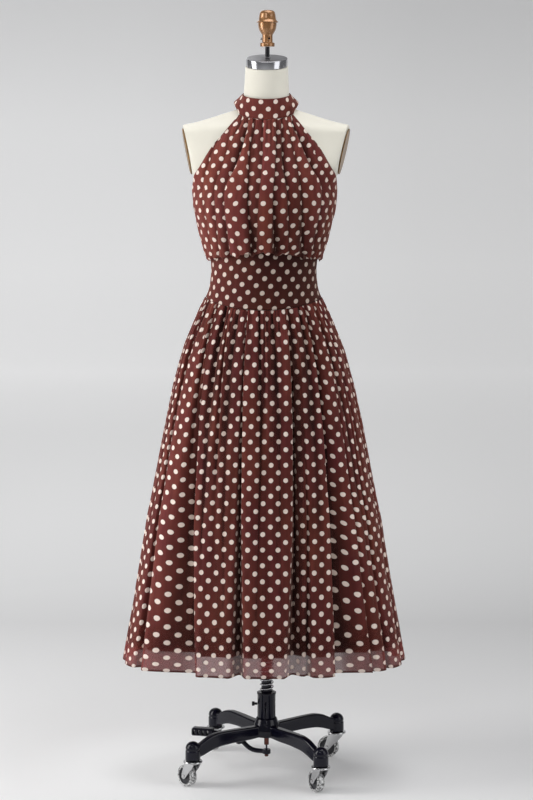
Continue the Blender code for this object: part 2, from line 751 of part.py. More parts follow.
def skirt_stations():
    """The skirt's folds as points: angle at the hip seam, angle at the hem and offset there."""
    points = [(-180.0, -180.0, 4 * MM)]
    for k, fold in enumerate(SKIRT_FOLDS):
        left, right = TOP_SPREAD * fold["left"], TOP_SPREAD * fold["right"]
        shoulder = min(fold["crown"], 0.0)
        before = min(SKIRT_FOLDS[k - 1]["crown"], 0.0)
        points.append((fold["top"] - left, fold["hem"] - fold["left"], before))
        points.append((fold["top"], fold["hem"], -fold["depth"]))
        points.append((fold["top"] + right, fold["hem"] + fold["right"], shoulder))
        if k + 1 < len(SKIRT_FOLDS):
            after = SKIRT_FOLDS[k + 1]
            top = (points[-1][0] + after["top"] - TOP_SPREAD * after["left"]) / 2
            hem = (points[-1][1] + after["hem"] - after["left"]) / 2
            points.append((top, hem, fold["crown"]))
    points.append((180.0, 180.0, 4 * MM))
    return np.array(points)


def hem_arc(angle):
    """Length of hem, before its folds, for each degree at these angles."""
    width, depth = LOWER_DRESS["half_width"][0], LOWER_DRESS["front"][0]
    return np.hypot(width * np.cos(angle), depth * np.sin(angle)) * np.pi / 180


def skirt_places(stations):
    """A running share of the cloth for each station, between equal angles and equal lengths of hem."""
    angles = np.diff(stations[:, 0]) / 360
    middle = np.radians((stations[:-1, 1] + stations[1:, 1]) / 2)
    lengths = np.hypot(np.diff(stations[:, 1]) * hem_arc(middle), np.diff(stations[:, 2]))
    shares = (1 - FABRIC_SHARE) * angles + FABRIC_SHARE * lengths / lengths.sum()
    return np.concatenate([[0.0], np.cumsum(shares)])


def skirt_point(stations, places, place, share, offset):
    """Point on the skirt at a place across the cloth and a share of the way down."""
    top = np.radians(smooth(places, stations[:, 0], place))
    hem = np.radians(smooth(places, stations[:, 1], place))
    fold = smooth(places, stations[:, 2], place)
    angle = top + (hem - top) * share
    high = seam_height(HIP_SEAM, top) - HIP_DROP
    z = high + (seam_height(HEM, hem) - high) * share
    return ring_point(LOWER_DRESS, z, angle, fold * share**FOLD_GROWTH + offset)


def gather_height(share):
    """How far the gathers swing either way, share of the way down the skirt."""
    grown = min(share / SKIRT_ROWS[1], 1.0)
    swing = GATHER_AT_SEAM + (GATHER_BELOW - GATHER_AT_SEAM) * grown
    return swing * math.exp(-((share / GATHER_FADE) ** 1.5))


def skirt():
    stations = skirt_stations()
    places = skirt_places(stations)
    side_left, side_right = np.interp((-90.0, 90.0), stations[:, 0], places)
    panels = (
        ("skirt_back_left", 0.0, side_left, BACK_GATHERS),
        ("skirt_front", side_left, side_right, FRONT_GATHERS),
        ("skirt_back_right", side_right, places[-1], BACK_GATHERS),
    )
    chance = np.random.RandomState(5)
    for name, start, end, gathers in panels:
        count = gathers * GATHER_COLUMNS
        phase = np.arange(count + 1) / GATHER_COLUMNS
        uneven = np.repeat(chance.uniform(0.7, 1.0, gathers), GATHER_COLUMNS)
        uneven = np.append(uneven, 1.0)
        place = start + (end - start) * phase / gathers
        rows = []
        for share in SKIRT_ROWS:
            gather = -gather_height(share) * np.cos(2 * np.pi * phase) * uneven
            rows.append(skirt_point(stations, places, place, share, gather))
        sheet(name, part_seams(np.array(rows)), PRINTED_CHIFFON)


def skirt_lining():
    stations = skirt_stations()
    places = skirt_places(stations)
    stretch = (HEM["side"] - HIP_SEAM["side"]) / (LINING_HEM - HIP_SEAM["side"])
    rows = []
    for row in LINING_ROWS:
        share = row / stretch
        inset = LINING_INSET_TOP + (LINING_INSET - LINING_INSET_TOP) * min(row / LINING_ROWS[1], 1.0)
        rows.append(skirt_point(stations, places, places[:-1], share, -inset))
    sheet("skirt_lining", np.array(rows), LINING_CLOTH, wall=LINING, closed=True)


# Closures -----------------------------------------------------------------------------------


def neck_buttons():
    """Covered buttons on the right end of the neckband, and their cord loops from the left end."""
    for number, height in enumerate(BUTTON_HEIGHTS, 1):
        back = smooth(NECKBAND["z_back"][::-1], NECKBAND["back"][::-1], np.array([height]))[0]
        profile = (
            (0.0, BUTTON_THICKNESS),
            (0.6 * BUTTON_RADIUS, 0.85 * BUTTON_THICKNESS),
            (BUTTON_RADIUS, 0.35 * BUTTON_THICKNESS),
            (0.85 * BUTTON_RADIUS, 0.0),
            (0.0, 0.0),
        )
        lean = Matrix.Rotation(-BUTTON_LEAN, 4, "X")
        centre = Vector((BUTTON_SIDE, back + BUTTON_LIFT, height))
        button = turned(f"neck_button_{number}", profile, COVERED_BUTTON, 10)
        button.matrix_world = Matrix.Translation(centre) @ lean
        curve = bpy.data.curves.new(f"button_loop_{number}", "CURVE")
        curve.dimensions = "3D"
        line = curve.splines.new("POLY")
        line.points.add(len(LOOP) - 1)
        for point, (x, y) in zip(line.points, LOOP):
            point.co = (x, y, LOOP_LIFT, 1)
        curve.bevel_depth = LOOP_RADIUS
        curve.bevel_resolution = 0
        curve.use_fill_caps = True
        loop = bpy.data.objects.new(f"button_loop_{number}", curve)
        bpy.data.collections["halter_dress"].objects.link(loop)
        curve.materials.append(finish_material(COVERED_BUTTON))
        loop.matrix_world = button.matrix_world


def zip_slider():
    """Slider and pull tab of the closed zip, built flat and then laid on the slope of the back."""
    upper, lower = BACK_ROWS[0], BACK_ROWS[1]
    share = (upper["z_mid"] - SLIDER_Z) / (upper["z_mid"] - lower["z_mid"])
    back = upper["depth"] + (lower["depth"] - upper["depth"]) * share
    slope = math.atan2(lower["depth"] - upper["depth"], upper["z_mid"] - lower["z_mid"])
    # Local frame: X across, Y down the zip, Z out of the cloth.
    lay = Matrix.Translation((sway(SLIDER_Z), back, SLIDER_Z)) @ Matrix.Rotation(slope, 4, "X")
    lay = lay @ Matrix(((-1, 0, 0, 0), (0, 0, 1, 0), (0, -1, 0, 0), (0, 0, 0, 1)))
    out = SLIDER_LIFT + SLIDER_PLATE / 2
    slider = box(
        "zip_slider", (SLIDER_WIDTH, SLIDER_LENGTH, SLIDER_PLATE), (0, 0, out), BLACK_STEEL
    )
    top = SLIDER_LIFT + SLIDER_PLATE
    overlap = 0.2 * MM
    leg = (BRIDGE_WIDTH - overlap, BRIDGE_LEG, BRIDGE_ROOM + 2 * overlap)
    bar = (BRIDGE_WIDTH, BRIDGE_LENGTH, BRIDGE_BAR)
    pieces = [box("bridge_bar", bar, (0, 0, top + BRIDGE_ROOM + BRIDGE_BAR / 2), None)]
    for end in (-1, 1):
        middle = end * ((BRIDGE_LENGTH - BRIDGE_LEG) / 2 - overlap)
        centre = (0, middle, top - overlap + leg[2] / 2)
        pieces.append(box(f"bridge_leg_{end + 1}", leg, centre, None))
    boolean(slider, "UNION", pieces)
    hinge = top + BRIDGE_ROOM / 2
    tab_size = (TAB_WIDTH, TAB_LENGTH, TAB_THICKNESS)
    tab_top = -TAB_THICKNESS / 2
    tab_centre = (0, tab_top + TAB_LENGTH / 2, 0)
    tab = box("zip_pull_tab", tab_size, tab_centre, BLACK_STEEL)
    hole = (TAB_HOLE_WIDTH, TAB_HOLE_LENGTH, 3 * TAB_THICKNESS)
    hole_centre = (0, TAB_THICKNESS / 2 + TAB_HOLE_LENGTH / 2, 0)
    cutter = box("tab_hole", hole, hole_centre, None)
    boolean(tab, "DIFFERENCE", [cutter])
    for piece in (slider, *pieces):
        piece.matrix_world = lay
    for piece in (tab, cutter):
        piece.matrix_world = lay @ Matrix.Translation((0, 0, hinge))


# Dress form ---------------------------------------------------------------------------------


def arm_plane(z):
    """Where the flat of the arm lies, out from the middle, at height z."""
    (top_x, top_z), (bottom_x, bottom_z) = ARM_PLATE_TOP, ARM_PLATE_BOTTOM
    if z < bottom_z:
        return math.inf
    return bottom_x + (top_x - bottom_x) * (z - bottom_z) / (top_z - bottom_z)


def torso_ring(row, columns=TORSO_COLUMNS, scale=1.0):
    angle = np.arange(columns) * 2 * np.pi / columns
    sine, cosine = np.sin(angle), np.cos(angle)
    depth = np.where(cosine > 0, row["front"], row["back"])
    x = row["half_width"] * np.sign(sine) * np.abs(sine) ** (2 / row["power"])
    y = -depth * np.sign(cosine) * np.abs(cosine) ** (2 / row["power"])
    limit = arm_plane(row["z"])
    left = -limit - (y - ARM_PLATE_Y) * math.tan(ARM_PLATE_TURNS[-1])
    right = limit + (y - ARM_PLATE_Y) * math.tan(ARM_PLATE_TURNS[1])
    x = np.clip(x, left, right)
    lean = np.clip((row["z"] - NECK_TILT_START) / (NECK_TOP - NECK_TILT_START), 0, 1)
    z = row["z"] + y * math.tan(NECK_TILT) * lean
    return aslant(np.stack([x * scale, y * scale, z], axis=-1))


def dress_form():
    lofted("torso", [torso_ring(row) for row in TORSO], FORM_COVER)
    plate = torso_ring(TORSO[0], 20, 0.97)
    top = plate - (0, 0, GAP)
    lofted("form_bottom_plate", [top - (0, 0, BOTTOM_PLATE), top], BLACK_ENAMEL)
    (top_x, top_z), (bottom_x, bottom_z) = ARM_PLATE_TOP, ARM_PLATE_BOTTOM
    height = math.hypot(top_x - bottom_x, top_z - bottom_z) - 4 * MM
    for name, side in (("arm_plate_left", -1), ("arm_plate_right", 1)):
        top = side * top_x + sway(top_z)
        bottom = side * bottom_x + sway(bottom_z)
        lean = math.atan2(side * (top - bottom), top_z - bottom_z)
        shape = bmesh.new()
        bmesh.ops.create_cone(
            shape, cap_ends=True, segments=ARM_PLATE_SIDES, radius1=0.5, radius2=0.5, depth=1.0
        )
        bmesh.ops.scale(shape, vec=(height, ARM_PLATE_DEPTH, ARM_PLATE_THICKNESS), verts=shape.verts)
        aside = Matrix.Rotation(-side * ARM_PLATE_TURNS[side], 4, "Z")
        turn = aside @ Matrix.Rotation(side * (math.pi / 2 + lean), 4, "Y")
        bmesh.ops.transform(shape, matrix=turn, verts=shape.verts)
        stand_off = 1.5 * GAP + ARM_PLATE_THICKNESS / 2
        middle = Vector(((top + bottom) / 2, ARM_PLATE_Y, (top_z + bottom_z) / 2))
        middle += aside @ Vector((side * math.cos(lean), 0, -math.sin(lean))) * stand_off
        bmesh.ops.translate(shape, vec=middle, verts=shape.verts)
        from_bmesh(name, shape, ANTIQUE_GOLD)


def neck_fittings():
    cap = turned("neck_cap", bar_profile(CAP_RADIUS, 0.0, CAP_THICKNESS), CHROME, 24)
    cap.location = (sway(NECK_TOP), 0, NECK_TOP + 2 * GAP)
    cap.rotation_euler = (NECK_TILT, 0, 0)
    cap_top = NECK_TOP + 2 * GAP + CAP_THICKNESS / math.cos(NECK_TILT)
    rod_foot = cap_top + NECK_ROD_RADIUS * math.tan(NECK_TILT) + GAP
    rod = turned("neck_rod", bar_profile(NECK_ROD_RADIUS, rod_foot, FINIAL_FOOT - GAP), BLACK_STEEL, 10)
    finial = turned("finial", FINIAL_PROFILE, COPPER, 12)
    for piece in (rod, finial):
        piece.location.x = FINIAL_X
    screw = turned("finial_screw", bar_profile(0.0021, 0.0, 0.0035), CHROME, 8)
    screw.rotation_euler = (0, math.radians(-90), 0)
    screw.location = (FINIAL_X - 0.0120 - GAP, 0, FINIAL_SCREW_Z)


# Stand --------------------------------------------------------------------------------------


def pole_and_column():
    plate_bottom = TORSO["z"][0] - GAP - BOTTOM_PLATE
    pole_top = plate_bottom - GAP
    turned("pole", bar_profile(POLE_RADIUS, POLE_BOTTOM, pole_top), BLACK_ENAMEL, 16)
    turned(
        "pole_collar",
        tube_profile(COLLAR_RADIUS, POLE_RADIUS + GAP, pole_top - COLLAR_HEIGHT, pole_top),
        BLACK_ENAMEL,
        16,
    )
    lip = COLUMN_TOP - 4 * MM
    profile = (
        (COLUMN_LIP, COLUMN_TOP),
        (COLUMN_LIP, lip),
        (COLUMN_RADIUS, lip - 2 * MM),
        (COLUMN_RADIUS, COLUMN_BOTTOM),
        (COLUMN_BORE, COLUMN_BOTTOM),
        (COLUMN_BORE, COLUMN_TOP),
    )
    turned("column", profile, BLACK_ENAMEL, 16)
    head = ((0.0, 0.0125), (0.0050, 0.0115), (0.0050, 0.0065), (0.0028, 0.0055), (0.0028, 0.0), (0.0, 0.0))
    screw = turned("column_set_screw", head, BLACK_STEEL, 8)
    screw.rotation_euler = (0, math.radians(-90), 0)
    screw.location = (-COLUMN_RADIUS - GAP, 0, SET_SCREW_Z)


def spring():
    start = COLUMN_TOP + GAP + SPRING_WIRE
    count = SPRING_TURNS * SPRING_POINTS
    curve = bpy.data.curves.new("spring", "CURVE")
    curve.dimensions = "3D"
    line = curve.splines.new("POLY")
    line.points.add(count)
    for i, point in enumerate(line.points):
        turn = 2 * math.pi * i / SPRING_POINTS
        z = start + SPRING_PITCH * i / SPRING_POINTS
        point.co = (SPRING_RADIUS * math.cos(turn), SPRING_RADIUS * math.sin(turn), z, 1)
    curve.bevel_depth = SPRING_WIRE
    curve.bevel_resolution = 0
    curve.use_fill_caps = True
    obj = bpy.data.objects.new("spring", curve)
    bpy.data.collections["halter_dress"].objects.link(obj)
    curve.materials.append(finish_material(BLACK_STEEL))


def leg(turn):
    rings = []
    for row in LEG:
        high, low = row["z"] + row["height"] / 2, row["z"] - row["height"] / 2
        half = row["width"] / 2
        out = row["out"]
        corners = ((out, -half, low), (out, half, low), (out, 0.86 * half, high), (out, -0.86 * half, high))
        rings.append(np.array(corners))
    name = f"leg_{turn}"
    obj = lofted(name, rings, None)
    obj.rotation_euler = (0, 0, LEG_TURN + turn * math.pi / 2)
    return obj


def socket(turn):
    """Domed end of a leg, and the bore for the caster's stem."""
    profile = (
        (0.0, SOCKET_TOP),
        (0.5 * SOCKET_RADIUS, SOCKET_TOP - 2.6 * MM),
        (0.87 * SOCKET_RADIUS, SOCKET_SHOULDER + 0.5 * SOCKET_RADIUS),
        (SOCKET_RADIUS, SOCKET_SHOULDER),
        (SOCKET_RADIUS, SOCKET_BOTTOM),
        (0.0, SOCKET_BOTTOM),
    )
    dome = turned(f"socket_{turn}", profile, None, 12)
    bore = turned(
        f"socket_bore_{turn}",
        bar_profile(SOCKET_BORE, SOCKET_BOTTOM - 0.01, SOCKET_BORE_TOP),
        None,
        8,
    )
    around = LEG_TURN + turn * math.pi / 2
    for obj in (dome, bore):
        obj.location = (LEG_REACH * math.cos(around), LEG_REACH * math.sin(around), 0)
    return dome, bore


def prism(name, outline, start, thickness):
    """An outline in X and Z, given a thickness along Y from start; a minus sign goes the other way."""
    shape = bmesh.new()
    face = shape.faces.new([shape.verts.new((x, start, z)) for x, z in outline])
    grown = bmesh.ops.extrude_face_region(shape, geom=[face])
    moved = [item for item in grown["geom"] if isinstance(item, bmesh.types.BMVert)]
    bmesh.ops.translate(shape, vec=(0, thickness, 0), verts=moved)
    return from_bmesh(name, shape, None)


def pedal_bearing():
    """Two ears under the hub, and the pin between them that the pedal turns on."""
    pieces = []
    for side in (-1, 1):
        start = side * (PEDAL_WIRE + EAR_GAP)
        ear = prism(f"pivot_ear_{side + 1}", EAR, start, side * EAR_WALL)
        ear.rotation_euler = (0, 0, math.pi + PEDAL_HEADING)
        pieces.append(ear)
    reach = PEDAL_WIRE + EAR_GAP + EAR_WALL + 1.0 * MM
    pin = turned("pivot_pin", bar_profile(PIVOT_RADIUS, -reach, reach), None, 8)
    pin.rotation_euler = (math.pi / 2, 0, PEDAL_HEADING)
    pin.location = PIVOT
    return [*pieces, pin]


def cast_base():
    base = turned("base_casting", HUB_PROFILE, BLACK_ENAMEL, 16)
    legs = [leg(turn) for turn in range(4)]
    sockets = [socket(turn) for turn in range(4)]
    floor = turned("hub_floor", bar_profile(HUB_FLOOR_RADIUS, HUB_FLOOR, HUB_FLOOR_TOP), None, 16)
    rod = turned("brake_rod_shape", bar_profile(BRAKE_ROD_RADIUS, BRAKE_ROD_BOTTOM, 0.0905), None, 8)
    nut = turned("brake_nut", bar_profile(0.0048, 0.0800, 0.0855), None, 6)
    domes = [dome for dome, _ in sockets]
    boolean(base, "UNION", [*legs, *domes, floor, *pedal_bearing(), rod, nut])
    boolean(base, "DIFFERENCE", [bore for _, bore in sockets])


def casters():
    for name, (quarter, heading) in CASTERS.items():
        around = LEG_TURN + quarter * math.pi / 2
        place = Matrix.Translation((LEG_REACH * math.cos(around), LEG_REACH * math.sin(around), 0))
        place = place @ Matrix.Rotation(math.radians(heading), 4, "Z")
        fork(f"caster_fork_{name}", place)
        wheel(f"caster_wheel_{name}", place)


def fork(name, place):
    """Swivel plate, stem, two arms and the axle, with the wheel's side along +X."""
    plate = turned(name, bar_profile(FORK_PLATE_RADIUS, FORK_PLATE_BOTTOM, FORK_PLATE_TOP), CHROME, 12)
    stem = turned(f"{name}_stem", bar_profile(STEM_RADIUS, FORK_PLATE_TOP - 1 * MM, STEM_TOP), None, 8)
    inside = WHEEL_WIDTH / 2 + FORK_GAP
    pieces = [stem]
    for side in (-1, 1):
        pieces.append(prism(f"{name}_arm_{side + 1}", FORK_ARM, side * inside, side * FORK_WALL))
    axle = turned(f"{name}_axle", bar_profile(AXLE_RADIUS, -inside - 3 * MM, inside + 3 * MM), None, 8)
    boolean(plate, "UNION", [*pieces, axle])
    for piece in (plate, *pieces):
        piece.matrix_world = place
    to_axle = Matrix.Translation((CASTER_TRAIL, 0, WHEEL_RADIUS)) @ Matrix.Rotation(math.pi / 2, 4, "X")
    axle.matrix_world = place @ to_axle


def wheel(name, place):
    """A wheel turned about its axle, with one flat side of its rim level on the floor."""
    corner = WHEEL_RADIUS / math.cos(math.pi / WHEEL_SIDES)
    half = WHEEL_WIDTH / 2
    tyre = turned(name, tube_profile(corner, WHEEL_BORE, -half, half), WHEEL_RUBBER, WHEEL_SIDES)
    level = Matrix.Rotation(math.pi / WHEEL_SIDES + math.pi / 2, 4, "Z")
    to_axle = Matrix.Translation((CASTER_TRAIL, 0, WHEEL_RADIUS)) @ Matrix.Rotation(math.pi / 2, 4, "X")
    tyre.matrix_world = place @ to_axle @ level


def mesh_from_curve(name, curve_object, finish):
    """A closed mesh with the curve's shape; the curve is removed."""
    graph = bpy.context.evaluated_depsgraph_get()
    mesh = bpy.data.meshes.new_from_object(curve_object.evaluated_get(graph))
    shape = bmesh.new()
    shape.from_mesh(mesh)
    bmesh.ops.remove_doubles(shape, verts=shape.verts, dist=0.00001)
    bpy.data.objects.remove(curve_object)
    bpy.data.meshes.remove(mesh)
    return from_bmesh(name, shape, finish)


def pedal():
    curve = bpy.data.curves.new("lever_line", "CURVE")
    curve.dimensions = "3D"
    line = curve.splines.new("POLY")
    line.points.add(len(PEDAL_ROUTE) - 1)
    for point, place in zip(line.points, PEDAL_ROUTE):
        point.co = (*place, 1)
    curve.bevel_depth = PEDAL_WIRE
    curve.bevel_resolution = 1
    curve.use_fill_caps = True
    guide = bpy.data.objects.new("lever_line", curve)
    bpy.data.collections["shapes"].objects.link(guide)
    lever = mesh_from_curve("pedal_lever", guide, BLACK_ENAMEL)
    turn = Matrix.Rotation(PEDAL_HEADING, 4, "Z")
    pad = box("pedal_pad_shape", PEDAL_PAD, PEDAL_PAD_CENTRE, None, turn)
    eye = turned("brake_eye", bar_profile(BRAKE_EYE, -2 * PEDAL_WIRE, 2 * PEDAL_WIRE), None, 8)
    eye.location = (0, 0, PEDAL_ROUTE[-1][2])
    bore = turned("pivot_bore", bar_profile(PIVOT_BORE, -2 * PEDAL_WIRE, 2 * PEDAL_WIRE), None, 8)
    bore.rotation_euler = (math.pi / 2, 0, PEDAL_HEADING)
    bore.location = PIVOT
    ring = turned("brake_ring", bar_profile(BRAKE_RING, -0.8 * PEDAL_WIRE, 0.8 * PEDAL_WIRE), None, 12)
    ring.location = (0, 0, PEDAL_ROUTE[-1][2])
    boolean(lever, "UNION", [pad, ring])
    boolean(lever, "DIFFERENCE", [eye, bore])


def main():
    clear_scene()
    new_collection("halter_dress")
    new_collection("shapes").hide_render = True
    neckband()
    bodice()
    midriff()
    skirt()
    skirt_lining()
    neck_buttons()
    zip_slider()
    dress_form()
    neck_fittings()
    pole_and_column()
    spring()
    cast_base()
    casters()
    pedal()


main()
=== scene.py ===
"""Halter-neck dress with cream dots, shown on its dress form and castered stand.

Metres, +Z up, the front of the dress towards -Y, the floor at Z = 0 and the pole on the Z axis.
Angles round the body are 0 at the front, +90 degrees at +X and 180 at the centre back.
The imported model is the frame: each piece here stands for one of its nodes and rides on its body.
"""

import math

import bmesh
import bpy
import numpy as np
from mathutils import Matrix, Vector


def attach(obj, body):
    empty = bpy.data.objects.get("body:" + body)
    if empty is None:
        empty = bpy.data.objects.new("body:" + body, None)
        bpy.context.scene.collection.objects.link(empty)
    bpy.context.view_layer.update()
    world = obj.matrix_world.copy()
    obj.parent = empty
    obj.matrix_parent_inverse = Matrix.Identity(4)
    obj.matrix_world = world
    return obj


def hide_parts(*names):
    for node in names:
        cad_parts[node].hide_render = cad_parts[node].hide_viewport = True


bl_info = {
    "name": "Halter dress on a form",
    "version": (1, 0, 0),
    "blender": (4, 5, 0),
    "location": "3D View > Sidebar > Dress",
    "description": "Builds the cloth, form, stand and studio round the packed dress",
    "category": "Object",
}

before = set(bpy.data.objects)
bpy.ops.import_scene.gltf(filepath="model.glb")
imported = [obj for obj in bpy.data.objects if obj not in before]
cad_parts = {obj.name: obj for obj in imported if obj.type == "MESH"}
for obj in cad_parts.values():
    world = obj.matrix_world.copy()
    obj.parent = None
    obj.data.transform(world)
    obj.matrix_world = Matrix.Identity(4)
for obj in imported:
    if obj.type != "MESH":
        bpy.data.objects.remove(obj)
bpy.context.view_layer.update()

MM = 0.001
QUARTER_TURN = math.pi / 2


def table(names, rows):
    """Rows of numbers with named columns."""
    return np.array(rows, np.dtype([(name, float) for name in names.split()]))


# Shapes of the cloth ------------------------------------------------------------------------

LOWER_DRESS = table(
    "z half_width front back",
    [
        (0.268, 0.3230, 0.2090, 0.2145),
        (0.500, 0.2815, 0.1945, 0.2025),
        (0.593, 0.2665, 0.1860, 0.1965),
        (0.685, 0.2475, 0.1765, 0.1885),
        (0.778, 0.2300, 0.1660, 0.1795),
        (0.869, 0.2110, 0.1530, 0.1670),
        (0.960, 0.1885, 0.1375, 0.1500),
        (1.006, 0.1735, 0.1270, 0.1380),
        (1.050, 0.1555, 0.1160, 0.1240),
        (1.0817, 0.1415, 0.1080, 0.1120),
        (1.1035, 0.1310, 0.1030, 0.1030),
        (1.120, 0.1240, 0.0990, 0.0960),
        (1.142, 0.1200, 0.0955, 0.0900),
        (1.1645, 0.1184, 0.0940, 0.0870),
        (1.190, 0.1205, 0.0955, 0.0890),
        (1.215, 0.1225, 0.0975, 0.0930),
    ],
)
SWAY_Z = (0.26, 1.10, 1.20, 1.35, 1.45, 1.56, 1.64)
SWAY_X = (-0.0060, -0.0068, -0.0055, -0.0040, -0.0020, 0.0, 0.001)

# Seam heights: at the side, how far higher at the front, and at the back.
WAIST_SEAM = (1.1930, 0.0148, 0.0070)
HIP_SEAM = (1.1035, -0.0218, -0.0060)
HEM = (0.268, 0.006, 0.002)

NECKBAND = table(
    "half_width front back z_front z_side z_back",
    [
        (0.0535, 0.0600, 0.0600, 1.5450, 1.5570, 1.5660),
        (0.0625, 0.0640, 0.0635, 1.5335, 1.5475, 1.5570),
        (0.0725, 0.0680, 0.0680, 1.5220, 1.5375, 1.5490),
        (0.0705, 0.0720, 0.0715, 1.5105, 1.5335, 1.5420),
    ],
)
NECK_SEAM = (0.0675, 0.0755, 0.0742)  # half width, front, back
NECK_SEAM_ANGLE = np.array([0.0, 30.0, 62.0, 75.0, 90.0, 120.0, 180.0])
NECK_SEAM_Z = np.array([1.4990, 1.5032, 1.5121, 1.5215, 1.5295, 1.5320, 1.5350])
NECK_REACH = 62.0
NECKBAND_COLUMNS, NECKBAND_ROWS = 144, 33

BODICE_COLUMNS = "z_mid depth z_edge x_edge y_edge"
FRONT_ROWS = table(
    BODICE_COLUMNS,
    [
        (1.4780, 0.0850, 1.4900, 0.0775, 0.0600),
        (1.4550, 0.0960, 1.4710, 0.0928, 0.0700),
        (1.4280, 0.1100, 1.4405, 0.1183, 0.0765),
        (1.3920, 0.1300, 1.3980, 0.1441, 0.0780),
        (1.3620, 0.1440, 1.3726, 0.1584, 0.0600),
        (1.3320, 0.1490, 1.3450, 0.1615, 0.0200),
        (1.3000, 0.1460, 1.3120, 0.1580, 0.0000),
        (1.2620, 0.1350, 1.2660, 0.1485, 0.0000),
        (1.2325, 0.1245, 1.2230, 0.1375, 0.0000),
        (1.2140, 0.1165, 1.2005, 0.1300, 0.0000),
        (1.2060, 0.1070, 1.1870, 0.1235, 0.0000),
    ],
)
BACK_ROWS = table(
    BODICE_COLUMNS,
    [
        (1.5100, 0.0830, 1.5050, 0.0790, 0.0620),
        (1.4780, 0.0950, 1.4750, 0.0950, 0.0820),
        (1.4400, 0.1090, 1.4405, 0.1190, 0.0900),
        (1.4000, 0.1175, 1.4000, 0.1445, 0.0850),
        (1.3620, 0.1200, 1.3740, 0.1590, 0.0630),
        (1.3300, 0.1170, 1.3450, 0.1618, 0.0230),
        (1.2900, 0.1120, 1.3120, 0.1580, 0.0000),
        (1.2450, 0.1070, 1.2500, 0.1445, 0.0000),
        (1.2120, 0.1030, 1.2090, 0.1330, 0.0000),
        (1.1965, 0.0980, 1.1880, 0.1275, 0.0000),
    ],
)
FOLD_COLUMNS = 20
BODICE_ROWS = 128
BLOUSE_TURN = 2.4 * MM
BLOUSE_TURN_RISE = 2.0 * MM
SEAM_LAP = 0.8 * MM
BUST_Z = 1.34
WAIST_HALF_WIDTH = 0.1215
FOLD_GAP = 0.012  # the least between two folds, as a share of the panel
NECK_PLEATS = (18, 9)  # in front, and in each back panel
WAIST_TUCKS = (27, 14)
MIDRIFF_ROWS = 28
# Range of the painted shade on the cloth, from painted light on its crests to painted shade at the
# bottoms of its folds.
SHADES = (-0.8, 1.0)

# Folds of the bodice: how far each valley lies from the centre at four heights, its depth there,
# and how wide it opens to the left and to the right, in millimetres.
FOLD_HEIGHTS = (1.490, 1.420, 1.330, 1.210)
FRONT_FOLDS = (
    ((-65, -119, -138, -113), (1.0, 4.5, 2.0, 3.0), (4, 12)),
    ((-53, -86, -112, -101), (2.5, 2.5, 3.0, 4.5), (5, 7)),
    ((-39, -58, -90, -78), (6.0, 10.0, 4.0, 7.0), (11, 4)),
    ((-27, -36, -38, -29), (4.5, 8.5, 8.0, 15.0), (3.5, 14)),
    ((-7, -7, -13, -19), (5.0, 5.0, 3.5, 1.5), (9, 3.5)),
    ((23, 24, 20, 24), (5.0, 7.0, 7.5, 17.0), (3.5, 12)),
    ((35, 38, 52, 56), (5.5, 9.0, 6.0, 3.0), (4, 9)),
    ((46, 65, 83, 88), (3.5, 4.5, 7.0, 14.0), (11, 9)),
    ((56, 90, 128, 107), (6.5, 9.5, 3.5, 5.0), (4, 11)),
    ((62, 108, 146, 120), (1.0, 2.0, 2.0, 3.0), (5, 5)),
)
# How far the print has moved on, in each strip of cloth from left to right.
FRONT_SHIFTS = (-28, -22, -16, -8, -3, 0, 6, 12, 20, 26, 32)
BACK_FOLDS = (
    ((13, 18, 20, 15), (3.0, 2.5, 2.0, 4.0), (5, 6)),
    ((24, 38, 45, 36), (4.0, 5.0, 5.0, 6.0), (6, 9)),
    ((34, 58, 72, 58), (3.5, 4.0, 3.5, 5.0), (7, 5)),
    ((44, 80, 99, 80), (4.0, 5.5, 6.0, 5.5), (5, 9)),
    ((53, 101, 126, 101), (3.0, 3.0, 3.5, 4.5), (7, 6)),
    ((61, 118, 146, 117), (1.5, 2.5, 2.5, 3.5), (5, 5)),
)
BACK_SHIFTS = (0, 5, 11, 16, 22, 27, 33)

# Folds of the skirt: angle of the valley at the hip seam and at the hem, how far the cloth
# slopes into it there from the left and from the right, its depth near the seam, half-way
# down and at the hem, and how far the crown after it stands out.
SKIRT_FOLDS = table(
    "top hem left right high mid low crown",
    [
        (-165.0, -167.0, 5.0, 3.0, 6, 15, 26, 4),
        (-143.0, -146.0, 3.0, 4.0, 8, 19, 34, 5),
        (-123.0, -127.0, 3.5, 12.0, 7, 16, 28, 4),
        (-103.0, -104.0, 4.0, 5.0, 5, 12, 20, 3),
        (-87.0, -84.0, 4.0, 5.0, 3, 5, 8, 3),
        (-70.0, -64.0, 2.5, 5.0, 7, 14, 18, 4),
        (-47.0, -30.5, 24.0, 2.6, 8, 25, 33, 4),
        (-31.0, -20.0, 4.0, 4.0, 7, 4, 0, 3),
        (-14.5, -10.4, 3.2, 3.0, 9, 22, 34, 3),
        (1.0, 1.0, 5.0, 5.0, 4, 3, 0, 3),
        (21.0, 12.3, 4.2, 3.4, 10, 21, 35, -15),
        (27.0, 18.4, 1.6, 1.5, 0, 5, 24, 5),
        (40.0, 31.5, 2.2, 17.0, 9, 18, 30, 3),
        (53.0, 50.5, 1.6, 3.0, 4, 6, 9, 3),
        (63.0, 61.5, 2.5, 3.0, 6, 10, 14, 3),
        (83.0, 83.0, 6.0, 5.0, 3, 5, 8, 3),
        (101.0, 101.0, 5.0, 3.0, 5, 12, 20, 4),
        (118.0, 121.0, 12.0, 3.0, 7, 17, 30, 5),
        (139.0, 143.0, 3.5, 4.0, 8, 19, 33, 4),
        (160.0, 163.0, 3.0, 8.0, 6, 16, 28, 4),
    ],
)
FOLD_SHARES = (0.0, 0.15, 0.5, 1.0)
